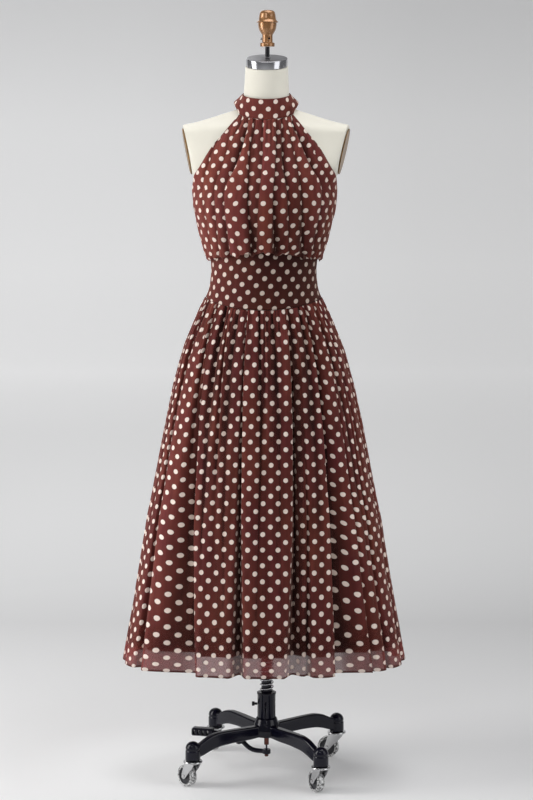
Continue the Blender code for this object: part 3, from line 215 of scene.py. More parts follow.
# How far the threads of the sheer hem stand apart, by the angle at the hem. Where it is less
# than 1 the cloth closes up or lies double.
HEM_SPREAD = np.array(
    [
        (-180.0, 0.75), (-120.0, 0.75), (-90.0, 0.60), (-60.0, 0.60), (-38.0, 0.66), (-33.0, 0.80),
        (-28.0, 1.00), (-15.0, 1.00), (-13.0, 0.60), (-8.0, 0.62), (-6.5, 0.90), (17.5, 0.95),
        (19.5, 0.56), (28.5, 0.56), (30.0, 1.00), (35.0, 1.00), (39.0, 0.64), (60.0, 0.58),
        (90.0, 0.60), (120.0, 0.75), (180.0, 0.75),
    ]
)
TOP_SPREAD = 0.35  # width of a fold at the hip seam, as a share of its width at the hem
FABRIC_SHARE = 0.38  # how far the cloth is shared out by length of hem and not by angle
LONG_FOLD = 9  # millimetres deep half-way down: from here on a fold cuts the print
CUT_MARGIN = 0.004
SKIRT_ROWS = 100
ROW_CROWDING = 1.45  # above 1 the rows lie closer together near the hip
HIP_DROP = 1.0 * MM
GATHERS = 84  # all round
GATHER_COLUMNS = 10
# Ranges of the gathers' depth in millimetres, of the share of the skirt that a short and a long
# one run down, and of how many times deeper a long one is.
GATHER_DEPTHS = (3.4, 5.6)
SHORT_GATHERS, LONG_GATHERS = (0.09, 0.17), (0.3, 0.75)
LONG_GAINS = (1.5, 2.3)
LIT_CREST, LIT_WIDTH = -43.0, 3.0  # angle at the hip of a crest that catches the light
SLOPES_AT = (-46.0, 40.7)  # angles at the hem of the two wide slopes beside the front folds
SLOPE_REACH = 8
SLOPE_PRINT = 0.68  # scale of their print across, when it is drawn out
HEM_TURN = 0.021  # cloth turned in at the hem
# How far up the cloth the rolled hem and the sheer part end, with a soft edge.
ROLLED_HEM, LINING_EDGE = (0.0050, 0.0066), (0.0433, 0.0567)
DOT_SOFTNESS = 0.07
THREAD = 0.0006
LINING_HEM = 0.3125
LINING_COLUMNS, LINING_ROWS = 280, 30
LINING_INSET_TOP = 6.5 * MM
LINING_INSET = 12.0 * MM

# Shapes of the form and the stand -----------------------------------------------------------

TORSO = table(
    "z half_width front back power",
    [
        (0.790, 0.1460, 0.1000, 0.1240, 2.1),
        (0.900, 0.1580, 0.1000, 0.1260, 2.1),
        (0.970, 0.1520, 0.0960, 0.1160, 2.1),
        (1.040, 0.1340, 0.0910, 0.0990, 2.1),
        (1.1035, 0.1180, 0.0900, 0.0890, 2.1),
        (1.160, 0.1090, 0.0845, 0.0770, 2.1),
        (1.220, 0.1180, 0.0900, 0.0830, 2.1),
        (1.280, 0.1360, 0.1130, 0.0960, 2.2),
        (1.330, 0.1490, 0.1320, 0.1040, 2.2),
        (1.365, 0.1515, 0.1230, 0.1080, 2.1),
        (1.377, 0.1640, 0.1180, 0.1080, 2.1),
        (1.400, 0.1950, 0.1060, 0.1070, 2.0),
        (1.440, 0.2150, 0.0840, 0.0980, 2.0),
        (1.471, 0.2200, 0.0705, 0.0860, 2.0),
        (1.4845, 0.2040, 0.0670, 0.0800, 1.8),
        (1.495, 0.1560, 0.0620, 0.0720, 1.42),
        (1.512, 0.1000, 0.0580, 0.0640, 1.12),
        (1.527, 0.0600, 0.0540, 0.0580, 1.6),
        (1.545, 0.0515, 0.0530, 0.0560, 2.0),
        (1.557, 0.0505, 0.0515, 0.0545, 2.0),
        (1.618, 0.0475, 0.0480, 0.0490, 2.0),
    ],
)
TORSO_COLUMNS = 72
NECK_TILT = math.radians(13)
NECK_TILT_START = 1.557
NECK_TOP = 1.618
ARM_PLATE_TOP = (0.1852, 1.483)
ARM_PLATE_BOTTOM = (0.1632, 1.377)
ARM_PLATE_TURNS = {-1: math.radians(4.5), 1: math.radians(7.5)}
ARM_PLATE_DEPTH = 0.084
ARM_PLATE_Y = 0.006
ARM_PLATE_THICKNESS = 3 * MM
CAP_Z = NECK_TOP + 0.6 * MM
CAP_RADIUS = 0.0462
CAP_THICKNESS = 0.018
FINIAL_X = 0.002
FINIAL_PROFILE = (
    (0.0, 1.7420), (0.0080, 1.7417), (0.0132, 1.7404), (0.0164, 1.7374), (0.0177, 1.7330),
    (0.0184, 1.7280), (0.0195, 1.7215), (0.0214, 1.7180), (0.0238, 1.7163), (0.0242, 1.7149),
    (0.0233, 1.7140), (0.0208, 1.7134), (0.0206, 1.7095), (0.0200, 1.7040), (0.0186, 1.6985),
    (0.0160, 1.6935), (0.0136, 1.6900), (0.0122, 1.6880), (0.0117, 1.6860), (0.0117, 1.6760),
    (0.0119, 1.6712), (0.0134, 1.6704), (0.0156, 1.6698), (0.0163, 1.6682), (0.0163, 1.6630),
    (0.0156, 1.6612), (0.0, 1.6612),
)
FINIAL_SCREW_Z = 1.6785
FINIAL_HOLE_Z = 1.6788
ROD_RADIUS, ROD_TOP = 0.005, 1.6607

POLE_RADIUS, POLE_TOP, POLE_BOTTOM = 0.012, 0.7834, 0.098
COLLAR_RADIUS, COLLAR_BOTTOM = 0.024, 0.7554
COLUMN_TOP = 0.191
SPRING_RADIUS = 0.0153
SPRING_WIRE = 1.45 * MM
SPRING_PITCH = 0.0106
SPRING_TURNS = 9
SPRING_STEPS = 24  # in each turn
COLUMN_HOLE_Z = 0.160
SET_SCREW_Z = 0.163
LEG_TURN = math.radians(36.2)
LEG_REACH = 0.206
# Sections of a leg: how far out, height of the middle, height and width.
LEG = np.array(
    [
        (0.0225, 0.1020, 0.0260, 0.0240),
        (0.0600, 0.1018, 0.0290, 0.0225),
        (0.1000, 0.1024, 0.0305, 0.0205),
        (0.1350, 0.1015, 0.0325, 0.0190),
        (0.1600, 0.0965, 0.0330, 0.0185),
        (0.1800, 0.0885, 0.0310, 0.0180),
        (0.2000, 0.0815, 0.0270, 0.0170),
    ]
)
LEG_RINGS, LEG_SIDES = 26, 36
LEG_ROUNDNESS = 0.3  # 1 for an oval, towards 0 for a sharp square
LEG_TOP_WIDTH = 0.86  # as a share of the width below
WHEEL_RADIUS = 0.025
WHEEL_WIDTH = 0.018
CASTER_TRAIL = 0.0205
# The leg that each caster stands under, and its heading in degrees.
CASTERS = {
    "back_right": (0, 160.0),
    "back_left": (1, 107.0),
    "front_left": (2, 132.0),
    "front_right": (3, 117.0),
}
PEDAL_ROUTE = (
    (-0.1290, 0.0305, 0.0865), (-0.0950, 0.0225, 0.0855), (-0.0760, 0.0180, 0.0800),
    (-0.0640, 0.0151, 0.0735), (-0.0530, 0.0125, 0.0680), (-0.0450, 0.0106, 0.0590),
    (-0.0330, 0.0078, 0.0515), (-0.0180, 0.0042, 0.0498), (-0.0060, 0.0014, 0.0500),
)
PEDAL_LEVER_RADIUS = 5.6 * MM
PEDAL_DETAIL = 0.9 * MM
PEDAL_HEADING = math.atan2(-0.235, 1.0)
PEDAL_PAD = (0.052, 0.024, 0.019)
PEDAL_PAD_CENTRE = (-0.1480, 0.0350, 0.0872)
PIVOT = (-0.0640, 0.0151, 0.0710)
PEDAL_RING_Z = 0.05
SLOT_PITCH, SLOTS, FIRST_SLOT = 0.0105, 4, -0.0185

# Studio -------------------------------------------------------------------------------------

FLOOR_REACH, FLOOR_END, SWEEP_RADIUS, WALL_TOP = 10.0, 8.8, 1.6, 6.0
# Where the backdrop's painted glow sets in along Y, and how far it takes to grow.
GLOW_START, GLOW_REACH = 1.55, 1.65  # behind the pole
CAMERA_PLACE = (0, -4.77, 1.438)
CAMERA_TILT = math.radians(90 - 6.8)
LENS, SENSOR_HEIGHT = 95.2, 36


# Settings -----------------------------------------------------------------------------------


def colour_setting(name, description, default):
    return bpy.props.FloatVectorProperty(
        name=name, description=description, default=default, subtype="COLOR", size=3, min=0, max=1
    )


def length_setting(name, description, default):
    return bpy.props.FloatProperty(
        name=name, description=description, default=default, min=0, unit="LENGTH", precision=4
    )


class DressSettings(bpy.types.PropertyGroup):
    cloth_colour: colour_setting("Cloth", "Ground colour of the chiffon", (0.146, 0.0305, 0.0245))
    lining_colour: colour_setting(
        "Lining", "Colour of the lining under the skirt", (0.085, 0.018, 0.016)
    )
    dot_colour: colour_setting("Dots", "Colour of the printed dots", (0.84, 0.72, 0.64))
    dot_spacing: length_setting("Dot spacing", "From one dot to the next in a row", 0.034)
    dot_diameter: length_setting("Dot size", "Diameter of a printed dot", 0.0108)
    cloth_wall: length_setting("Cloth thickness", "Thickness of the shown cloth", 0.0004)
    sheerness: bpy.props.FloatProperty(
        name="Sheerness",
        description="Share of light that each face of the skirt's chiffon lets through",
        default=0.5,
        min=0,
        max=1,
        subtype="FACTOR",
    )


class FormSettings(bpy.types.PropertyGroup):
    cover_colour: colour_setting("Cover", "Colour of the form's jersey cover", (0.83, 0.80, 0.70))
    plate_colour: colour_setting("Arm plates", "Colour of the arm plates", (0.26, 0.14, 0.036))
    finial_colour: colour_setting("Finial", "Colour of the finial's lacquer", (0.37, 0.175, 0.065))


class StandSettings(bpy.types.PropertyGroup):
    enamel_colour: colour_setting("Enamel", "Colour of the cast stand", (0.0042, 0.0041, 0.0105))
    casting_fillet: length_setting("Casting detail", "Size of the casting's mesh", 0.0013)


class StageSettings(bpy.types.PropertyGroup):
    floor_colour: colour_setting(
        "Backdrop", "Colour of the floor and backdrop", (0.85, 0.85, 0.855)
    )
    key_power: bpy.props.FloatProperty(
        name="Key light",
        description="Power of the soft light on the left",
        default=52.0,
        min=0,
        unit="POWER",
    )


def settings(name):
    return getattr(bpy.context.scene, name)


# Meshes -------------------------------------------------------------------------------------


def smooth(xs, ys, at):
    """Reads the smooth curve through (xs, ys), which never overshoots them; ys may have columns."""
    xs, ys = np.asarray(xs, float), np.asarray(ys, float)
    at = np.clip(at, xs[0], xs[-1])
    steps = np.diff(xs)
    extra = (None,) * (ys.ndim - 1)
    rises = np.diff(ys, axis=0) / steps[(slice(None), *extra)]
    same_way = rises[:-1] * rises[1:] > 0
    total = np.where(same_way, rises[:-1] + rises[1:], 1.0)
    inner = np.where(same_way, 2 * rises[:-1] * rises[1:] / total, 0.0)
    slopes = np.concatenate([rises[:1], inner, rises[-1:]])
    k = np.clip(np.searchsorted(xs, at, side="right") - 1, 0, len(xs) - 2)
    step = steps[k][(..., *extra)]
    t = ((at - xs[k]) / steps[k])[(..., *extra)]
    start = (1 + 2 * t) * (1 - t) ** 2 * ys[k] + t * (1 - t) ** 2 * step * slopes[k]
    end = t * t * (3 - 2 * t) * ys[k + 1] + t * t * (t - 1) * step * slopes[k + 1]
    return start + end


def put(shape, name, materials, smooth_angle=40):
    """The finished bmesh as a named object in the scene."""
    if isinstance(shape, bpy.types.Mesh):
        mesh = shape
    else:
        mesh = bpy.data.meshes.new(name)
        shape.to_mesh(mesh)
        shape.free()
    for material in materials if isinstance(materials, (list, tuple)) else [materials]:
        mesh.materials.append(material)
    mesh.shade_smooth()
    if smooth_angle:
        mesh.set_sharp_from_angle(angle=math.radians(smooth_angle))
    obj = bpy.data.objects.new(name, mesh)
    bpy.context.scene.collection.objects.link(obj)
    return obj


def settled(obj):
    """Applies the object's modifiers."""
    graph = bpy.context.evaluated_depsgraph_get()
    graph.update()
    mesh = bpy.data.meshes.new_from_object(obj.evaluated_get(graph))
    obj.modifiers.clear()
    obj.data = mesh
    return obj


def stands_for(obj, body, slot, *nodes):
    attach(obj, body)
    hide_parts(*nodes)
    return obj


def at(place, turn=0.0, axis="Z"):
    """A turn about one axis, then a move to the place."""
    return Matrix.Translation(place) @ Matrix.Rotation(turn, 4, axis)


def bar(radius, top, bottom, inner=0):
    """Profile of a plain round bar, or of a tube round the inner radius."""
    return [(inner, top), (radius, top), (radius, bottom), (inner, bottom)]


def spun(profile, steps=48, matrix=None, into=None):
    """A profile of (radius, z) turned about Z. It is open at the axis or closed on itself."""
    shape = bmesh.new()
    verts = [shape.verts.new((radius, 0, z)) for radius, z in profile]
    pairs = list(zip(verts, verts[1:]))
    if profile[0][0] > 0 and profile[-1][0] > 0:
        pairs.append((verts[-1], verts[0]))
    edges = [shape.edges.new(pair) for pair in pairs]
    bmesh.ops.spin(
        shape,
        geom=verts + edges,
        cent=(0, 0, 0),
        axis=(0, 0, 1),
        angle=2 * math.pi,
        steps=steps,
        use_merge=True,
    )
    bmesh.ops.remove_doubles(shape, verts=shape.verts, dist=1e-6)
    bmesh.ops.recalc_face_normals(shape, faces=shape.faces)
    if matrix is not None:
        bmesh.ops.transform(shape, matrix=matrix, verts=shape.verts)
    return joined(shape, into)


def joined(shape, into):
    """The shape by itself, or added to another one."""
    if into is None:
        return shape
    mesh = bpy.data.meshes.new("part")
    shape.to_mesh(mesh)
    shape.free()
    into.from_mesh(mesh)
    bpy.data.meshes.remove(mesh)
    return into


def bevelled(shape, width):
    """Rounds the edges that are sharper than 35 degrees."""
    limit = math.radians(35)
    edges = [e for e in shape.edges if e.is_manifold and e.calc_face_angle(0) > limit]
    bmesh.ops.bevel(
        shape,
        geom=edges,
        offset=width,
        offset_type="OFFSET",
        segments=2,
        profile=0.5,
        affect="EDGES",
        clamp_overlap=True,
        material=-1,
    )
    return shape


def rounded(profile, radius, segments=3):
    """The profile of (radius, z) with its inner corners rounded."""
    points = [profile[0]]
    for before, corner, after in zip(profile, profile[1:], profile[2:]):
        corner, before, after = Vector(corner), Vector(before), Vector(after)
        back, on = before - corner, after - corner
        reach = min(radius, back.length * 0.45, on.length * 0.45)
        start, end = corner + back.normalized() * reach, corner + on.normalized() * reach
        for step in range(segments + 1):
            t = step / segments
            points.append(tuple(start * (1 - t) ** 2 + corner * 2 * t * (1 - t) + end * t * t))
    points.append(profile[-1])
    return points


def lofted(rings, into=None):
    """A closed form through rings of points, each (columns, 3) and listed bottom up."""
    shape = bmesh.new()
    column = shape.verts.layers.int.new("column")
    circle = bmesh.ops.create_circle(shape, segments=len(rings[0]), radius=1.0)["verts"]
    for i, vert in enumerate(circle):
        vert[column] = i
        vert.co = rings[0][i]
    first = edges = list(shape.edges)
    for ring in rings[1:]:
        grown = bmesh.ops.extrude_edge_only(shape, edges=edges)["geom"]
        lines = [item for item in grown if isinstance(item, bmesh.types.BMEdge)]
        edges = [line for line in lines if line.is_boundary]
        for vert in grown:
            if isinstance(vert, bmesh.types.BMVert):
                vert.co = ring[vert[column]]
    for ends in (first, edges):
        bmesh.ops.contextual_create(shape, geom=ends)
    bmesh.ops.recalc_face_normals(shape, faces=shape.faces)
    return joined(shape, into)


def prism(outline, start, thickness, matrix=None, into=None, bevel=0.0):
    """An outline in X and Z, given a thickness along Y from start."""
    shape = bmesh.new()
    verts = [shape.verts.new((x, start, z)) for x, z in outline]
    face = shape.faces.new(verts)
    grown = bmesh.ops.extrude_face_region(shape, geom=[face])["geom"]
    moved = [item for item in grown if isinstance(item, bmesh.types.BMVert)]
    bmesh.ops.translate(shape, vec=(0, thickness, 0), verts=moved)
    bmesh.ops.recalc_face_normals(shape, faces=shape.faces)
    if bevel:
        bevelled(shape, bevel)
    if matrix is not None:
        bmesh.ops.transform(shape, matrix=matrix, verts=shape.verts)
    return joined(shape, into)


def block(size, matrix, bevel=0.0, into=None):
    shape = bmesh.new()
    bmesh.ops.create_cube(shape, size=1.0)
    bmesh.ops.scale(shape, vec=size, verts=shape.verts)
    if bevel:
        bevelled(shape, bevel)
    bmesh.ops.transform(shape, matrix=matrix, verts=shape.verts)
    return joined(shape, into)


def tube_along(points, radius, name):
    """A round bar along a smooth line, as a mesh."""
    curve = bpy.data.curves.new(name, "CURVE")
    curve.dimensions = "3D"
    line = curve.splines.new("NURBS")
    line.points.add(len(points) - 1)
    for knot, place in zip(line.points, points):
        knot.co = (*place, 1)
    line.order_u = 3
    line.use_endpoint_u = True
    line.resolution_u = 6
    curve.bevel_depth = radius
    curve.bevel_resolution = 4
    curve.use_fill_caps = True
    guide = bpy.data.objects.new(name, curve)
    bpy.context.scene.collection.objects.link(guide)
    graph = bpy.context.evaluated_depsgraph_get()
    mesh = bpy.data.meshes.new_from_object(guide.evaluated_get(graph))
    bpy.data.objects.remove(guide)
    bpy.data.curves.remove(curve)
    shape = bmesh.new()
    shape.from_mesh(mesh)
    bpy.data.meshes.remove(mesh)
    bmesh.ops.remove_doubles(shape, verts=shape.verts, dist=1e-6)
    bmesh.ops.recalc_face_normals(shape, faces=shape.faces)
    return shape


def cast(obj, detail):
    """Melts the parts of the object into one casting with soft corners."""
    remesh = obj.modifiers.new("cast", "REMESH")
    remesh.mode = "VOXEL"
    remesh.voxel_size = detail
    ease = obj.modifiers.new("fillets", "SMOOTH")
    ease.factor = 0.5
    ease.iterations = 3
    settled(obj)


def cut(obj, shape, name, material):
    """Takes the shape out of the object."""
    cutter = put(shape, name, material)
    hole = obj.modifiers.new("hole", "BOOLEAN")
    hole.operation = "DIFFERENCE"
    hole.object = cutter
    hole.solver = "EXACT"
    settled(obj)
    bpy.data.objects.remove(cutter)


# Finishes -----------------------------------------------------------------------------------


class Finish:
    """A material, with short ways to add and join its nodes."""

    def __init__(self, name, ground, roughness, metallic=0.0, **sockets):
        self.ground = tuple(ground)
        self.material = bpy.data.materials.new(name)
        self.material.use_nodes = True
        self.nodes = self.material.node_tree.nodes
        self.links = self.material.node_tree.links
        self.shader = self.nodes["Principled BSDF"]
        self.shader.inputs["Base Color"].default_value = (*self.ground, 1)
        self.shader.inputs["Roughness"].default_value = roughness
        self.shader.inputs["Metallic"].default_value = metallic
        for socket, value in sockets.items():
            self.shader.inputs[socket.replace("_", " ")].default_value = value
        self.material.diffuse_color = (*self.ground, 1)

    def node(self, kind, inputs=(), **options):
        node = self.nodes.new(f"ShaderNode{kind}")
        for option, value in options.items():
            setattr(node, option, value)
        for socket, value in dict(inputs).items():
            if isinstance(value, bpy.types.NodeSocket):
                self.links.new(value, node.inputs[socket])
            else:
                node.inputs[socket].default_value = value
        return node

    def places(self):
        return self.node("TexCoord").outputs["Object"]

    def cloth_places(self):
        return self.node("UVMap", uv_map="UVMap").outputs["UV"]

    def field(self, name):
        return self.node("Attribute", attribute_name=name).outputs["Fac"]

    def axis(self, place, name):
        return self.node("SeparateXYZ", {"Vector": place}).outputs[name]

    def noise(self, place, scale, detail=3.0, roughness=0.55):
        inputs = {"Vector": place, "Scale": scale, "Detail": detail, "Roughness": roughness}
        return self.node("TexNoise", inputs).outputs["Fac"]

    def stretched(self, place, scale, location=(0, 0, 0), rotation=(0, 0, 0)):
        inputs = {"Vector": place, "Scale": scale, "Location": location, "Rotation": rotation}
        return self.node("Mapping", inputs).outputs["Vector"]

    def grain(self, place, scales, detail=3.0, roughness=0.55):
        """Noise of its own scale along each axis."""
        return self.noise(self.stretched(place, scales), 1.0, detail, roughness)

    def ranged(self, value, low, high, to_low, to_high, interpolation="LINEAR"):
        names = ("Value", "From Min", "From Max", "To Min", "To Max")
        inputs = dict(zip(names, (value, low, high, to_low, to_high)))
        return self.node("MapRange", inputs, interpolation_type=interpolation).outputs["Result"]

    def mixed(self, factor, one, other, **options):
        """Colour one where the factor is 0 and the other where it is 1."""
        inputs = {0: factor, 6: one, 7: other}
        return self.node("Mix", inputs, data_type="RGBA", **options).outputs[2]

    def math(self, operation, *values):
        return self.node("Math", dict(enumerate(values)), operation=operation).outputs[0]

    def vector(self, operation, *values, **sockets):
        inputs = {**dict(enumerate(values)), **sockets}
        node = self.node("VectorMath", inputs, operation=operation)
        return node.outputs["Value" if operation in ("LENGTH", "DISTANCE") else "Vector"]

    def colour(self, socket):
        self.links.new(socket, self.shader.inputs["Base Color"])

    def toned(self, grain, dark, light, low=0.0, high=1.0):
        """Base colour from dark to light times the ground, as the grain runs from low to high."""
        share = self.ranged(grain, low, high, 0.0, 1.0)
        self.colour(self.mixed(share, tint(self.ground, dark), tint(self.ground, light)))

    def roughness(self, grain, low, high, least, most):
        self.links.new(self.ranged(grain, low, high, least, most), self.shader.inputs["Roughness"])

    def bump(self, height, distance, strength):
        inputs = {"Height": height, "Distance": distance, "Strength": strength}
        node = self.node("Bump", inputs)
        self.links.new(node.outputs["Normal"], self.shader.inputs["Normal"])


def tint(colour, *factors):
    """The colour times one factor, or times one for each channel."""
    factors = factors * 3 if len(factors) == 1 else factors
    return (*(min(value * factor, 1.0) for value, factor in zip(colour, factors)), 1)


def weave(finish, place, thread):
    """Threads crossing at right angles, as a height from 0 to 1."""
    waves = [
        finish.node(
            "TexWave",
            {"Vector": place, "Scale": 0.314 / thread, "Distortion": 0.6, "Detail": 1.0},
            wave_type="BANDS",
            bands_direction=way,
            wave_profile="SIN",
        ).outputs["Fac"]
        for way in ("X", "Y")
    ]
    return finish.math("MULTIPLY", *waves)


def chiffon(name, sheer, spacing, turn, dot_at, gathered_at=None):
    """Crinkled chiffon with dots in staggered rows, laid out by the piece's own UV map in metres.
    The rows are turned clockwise and one dot lies at dot_at. Below a seam that lies gathered_at
    up the map, random streaks of painted light and shade stand for puckered cloth."""
    dress = settings("dress")
    finish = Finish(
        name,
        dress.cloth_colour,
        0.75,
        Sheen_Weight=0.22,
        Sheen_Roughness=0.5,
        Sheen_Tint=(0.9, 0.42, 0.34, 1),
        Specular_IOR_Level=0.12,
    )
    ground = finish.ground
    place = finish.cloth_places()

    # The staggered rows are a square net turned by 45 degrees.
    net = (spacing or dress.dot_spacing) / math.sqrt(2)
    turn = math.radians(45) + turn
    home = (Matrix.Rotation(turn, 2) @ Vector(dot_at)) / net
    noise = {"Vector": place, "Scale": 170.0, "Detail": 2.0}
    wobble = finish.node("TexNoise", noise).outputs["Color"]
    wobble = finish.vector("SUBTRACT", wobble, (0.5, 0.5, 0.5))
    wobble = finish.vector("SCALE", wobble, Scale=0.0011)
    printed = finish.vector("ADD", place, wobble)
    move = (0.5 - home.x, 0.5 - home.y, 0)
    squared = finish.stretched(printed, (1 / net, 1 / net, 0), move, (0, 0, turn))
    inside = finish.vector("SUBTRACT", finish.vector("FRACTION", squared), (0.5, 0.5, 0))
    away = finish.vector("LENGTH", inside)
    radius = dress.dot_diameter / 2 / net
    soft_edge = (radius * (1 - DOT_SOFTNESS), radius * (1 + DOT_SOFTNESS))
    dot = finish.ranged(away, *soft_edge, 1.0, 0.0, "SMOOTHSTEP")

    cloudy = finish.grain(place, (14, 5, 1), 4.0)
    wine, rust = tint(ground, 0.86, 0.74, 0.98), tint(ground, 1.14, 1.25, 1.02)
    ground_colour = finish.mixed(finish.ranged(cloudy, 0.3, 0.7, 0.0, 1.0), wine, rust)
    cream = tuple(dress.dot_colour)
    dot_colour = finish.mixed(finish.noise(place, 260.0, 2.0), tint(cream, 0.9), tint(cream, 1.06))
    if sheer:
        # Painted shade darkens the cloth over the lining, and below the lining painted light makes
        # the thin cloth redder, as if lit through from behind.
        over_hem = finish.axis(place, "Y")
        spread = finish.field("spread")
        below = finish.ranged(over_hem, *LINING_EDGE, 1.0, 0.0)
        lining_shade = finish.mixed(1.0, ground_colour, (0.72, 0.70, 0.70, 1), blend_type="MULTIPLY")
        ground_colour = finish.mixed(below, lining_shade, ground_colour)
        through = tint(ground, 1.15, 0.95, 1.2)
        thin = finish.math("MULTIPLY", below, spread)
        ground_colour = finish.mixed(thin, ground_colour, through)
        # The hem is rolled, and several layers thick.
        rolled = finish.ranged(over_hem, *ROLLED_HEM, 1.0, 0.0)
        ground_colour = finish.mixed(rolled, ground_colour, tint(ground, 0.4))
    printed_colour = finish.mixed(dot, ground_colour, dot_colour)
    # Painted shade from the folds field: cloth deep in a fold is darkened, crests get a little
    # painted light, and random streaks vary both.
    depth = finish.ranged(finish.field("folds"), *SHADES, 1.64, 0.2)
    streaks = finish.grain(place, (75, 5, 1), 3.0, 0.6)
    depth = finish.math("MULTIPLY", depth, finish.ranged(streaks, 0.32, 0.68, 0.80, 1.16))
    # Near the gathered seam, random streaks of painted light and shade stand for puckers.
    if gathered_at:
        up = finish.axis(place, "Y")
        near = finish.ranged(up, gathered_at - 0.11, gathered_at, 0.0, 1.0)
        painted_puckers = finish.ranged(finish.grain(place, (210, 11, 1), 2.0, 0.6), 0.35, 0.65, -0.5, 0.5)
        painted_puckers = finish.math("MULTIPLY", painted_puckers, near)
        depth = finish.math("MULTIPLY", depth, finish.math("ADD", painted_puckers, 1.0))
    # The dots take less of the painted shade, and the deeper shade is painted redder.
    depth = finish.math("POWER", depth, finish.ranged(dot, 0.0, 1.0, 1.0, 0.32))
    green, blue = (finish.math("POWER", depth, power) for power in (1.1, 1.18))
    shades = {"Red": depth, "Green": green, "Blue": blue}
    depth = finish.node("CombineColor", shades).outputs["Color"]
    finish.colour(finish.mixed(1.0, printed_colour, depth, blend_type="MULTIPLY"))

    threads = weave(finish, place, THREAD)
    crinkle = finish.grain(place, (330, 60, 1), 3.0, 0.6)
    soft = finish.grain(place, (60, 9, 1), 2.0)
    height = finish.math("MULTIPLY_ADD", crinkle, 0.35, finish.math("MULTIPLY", threads, 0.12))
    finish.bump(finish.math("MULTIPLY_ADD", soft, 1.3, height), 0.0011, 0.8)
    if sheer:
        # Folds bring the threads closer together.
        share = finish.ranged(dot, 0.0, 1.0, dress.sheerness, 0.12)
        share = finish.math("MULTIPLY", share, spread)
        share = finish.math("MULTIPLY", share, finish.ranged(threads, 0.0, 1.0, 0.9, 1.1))
        covering = finish.math("SUBTRACT", 1.0, share)
        covering = finish.math("MAXIMUM", covering, finish.math("MULTIPLY", rolled, 0.93))
        finish.links.new(covering, finish.shader.inputs["Alpha"])
    return finish.material


def lining_cloth(name):
    ground = settings("dress").lining_colour
    finish = Finish(name, ground, 0.6, Sheen_Weight=0.2, Specular_IOR_Level=0.3)
    place = finish.cloth_places()
    finish.toned(finish.grain(place, (9, 4, 1)), 0.85, 1.15)
    height = finish.math("ADD", weave(finish, place, 0.0005), finish.noise(place, 45.0))
    finish.bump(height, 0.0004, 0.6)
    return finish.material


def covered_cloth(name):
    finish = Finish(name, settings("dress").cloth_colour, 0.7, Sheen_Weight=0.3)
    place = finish.places()
    finish.toned(finish.noise(place, 400.0), 0.75, 1.2)
    finish.bump(finish.noise(place, 1500.0), 0.0001, 0.6)
    return finish.material


def jersey(name):
    """Fine knit cover, a little soiled in faint blotches."""
    ground = settings("form").cover_colour
    finish = Finish(name, ground, 0.7, Sheen_Weight=0.25, Specular_IOR_Level=0.3)
    place = finish.places()
    finish.toned(finish.noise(place, 9.0, 4.0), 0.955, 1.02, 0.35, 0.7)
    rib = finish.grain(place, (900, 900, 500), 2.0)
    finish.bump(finish.math("MULTIPLY_ADD", rib, 0.6, weave(finish, place, 0.0011)), 0.00018, 0.55)
    return finish.material


def chrome(name, ground, worn=0.08):
    finish = Finish(name, ground, 0.14, 1.0)
    place = finish.places()
    finish.roughness(finish.noise(place, 60.0, 4.0), 0.3, 0.75, 0.12, 0.12 + worn)
    finish.toned(finish.noise(place, 25.0, 3.0), 0.9, 1.06)
    finish.bump(finish.grain(place, (120, 120, 2200), 2.0), 0.00001, 0.2)
    return finish.material


def turned(name):
    """Top of the cap: radial streaks, as off the grooves of its turning, are painted reflection in
    its colour and vary its roughness.
    """
    finish = Finish(name, (0.23, 0.23, 0.245), 0.34, 0.9)
    out = finish.vector("NORMALIZE", finish.vector("MULTIPLY", finish.places(), (1, 1, 0)))
    streaks = finish.noise(out, 4.0, 4.0, 0.6)
    finish.toned(streaks, 0.65, 1.7, 0.3, 0.7)
    finish.roughness(streaks, 0.3, 0.7, 0.28, 0.42)
    return finish.material


def copper(name):
    """Lacquered copper: mottled darker and lighter, with a warm clear coat."""
    ground = settings("form").finial_colour
    finish = Finish(name, ground, 0.3, 0.55, Coat_Weight=0.7, Coat_Roughness=0.06)
    place = finish.places()
    grain = finish.grain(place, (90, 90, 40), 4.0)
    finish.toned(grain, 0.8, 1.1, 0.35, 0.7)
    finish.roughness(finish.noise(place, 220.0), 0.3, 0.7, 0.24, 0.36)
    finish.bump(grain, 0.00002, 0.3)
    return finish.material


def gilt(name):
    """Dark gold paint on the arm plates, rubbed and grainy."""
    finish = Finish(name, settings("form").plate_colour, 0.42, 0.45, Coat_Weight=0.2)
    grain = finish.grain(finish.places(), (200, 40, 26), 5.0)
    finish.toned(grain, 0.6, 1.25, 0.35, 0.68)
    finish.bump(grain, 0.0002, 0.4)
    return finish.material


def enamel(name):
    """Gloss enamel on cast iron: faint orange peel, duller where it is rubbed."""
    ground = settings("stand").enamel_colour
    coat = {"Coat_Weight": 0.22, "Coat_Roughness": 0.04}
    finish = Finish(name, ground, 0.13, 0.0, Specular_IOR_Level=0.18, **coat)
    place = finish.places()
    peel = finish.noise(place, 260.0, 2.0)
    cast_grain = finish.noise(place, 45.0, 4.0)
    finish.roughness(cast_grain, 0.3, 0.75, 0.13, 0.23)
    finish.toned(cast_grain, 0.8, 1.5)
    finish.bump(finish.math("MULTIPLY_ADD", cast_grain, 2.0, peel), 0.0002, 0.35)
    return finish.material


def steel(name):
    finish = Finish(name, (0.022, 0.022, 0.025), 0.34, 0.7)
    place = finish.places()
    cloudy = finish.noise(place, 180.0, 3.0)
    finish.toned(cloudy, 0.9, 2.6, 0.5, 0.8)
    finish.roughness(cloudy, 0.3, 0.7, 0.28, 0.48)
    finish.bump(finish.grain(place, (300, 300, 1500)), 0.00003, 0.4)
    return finish.material


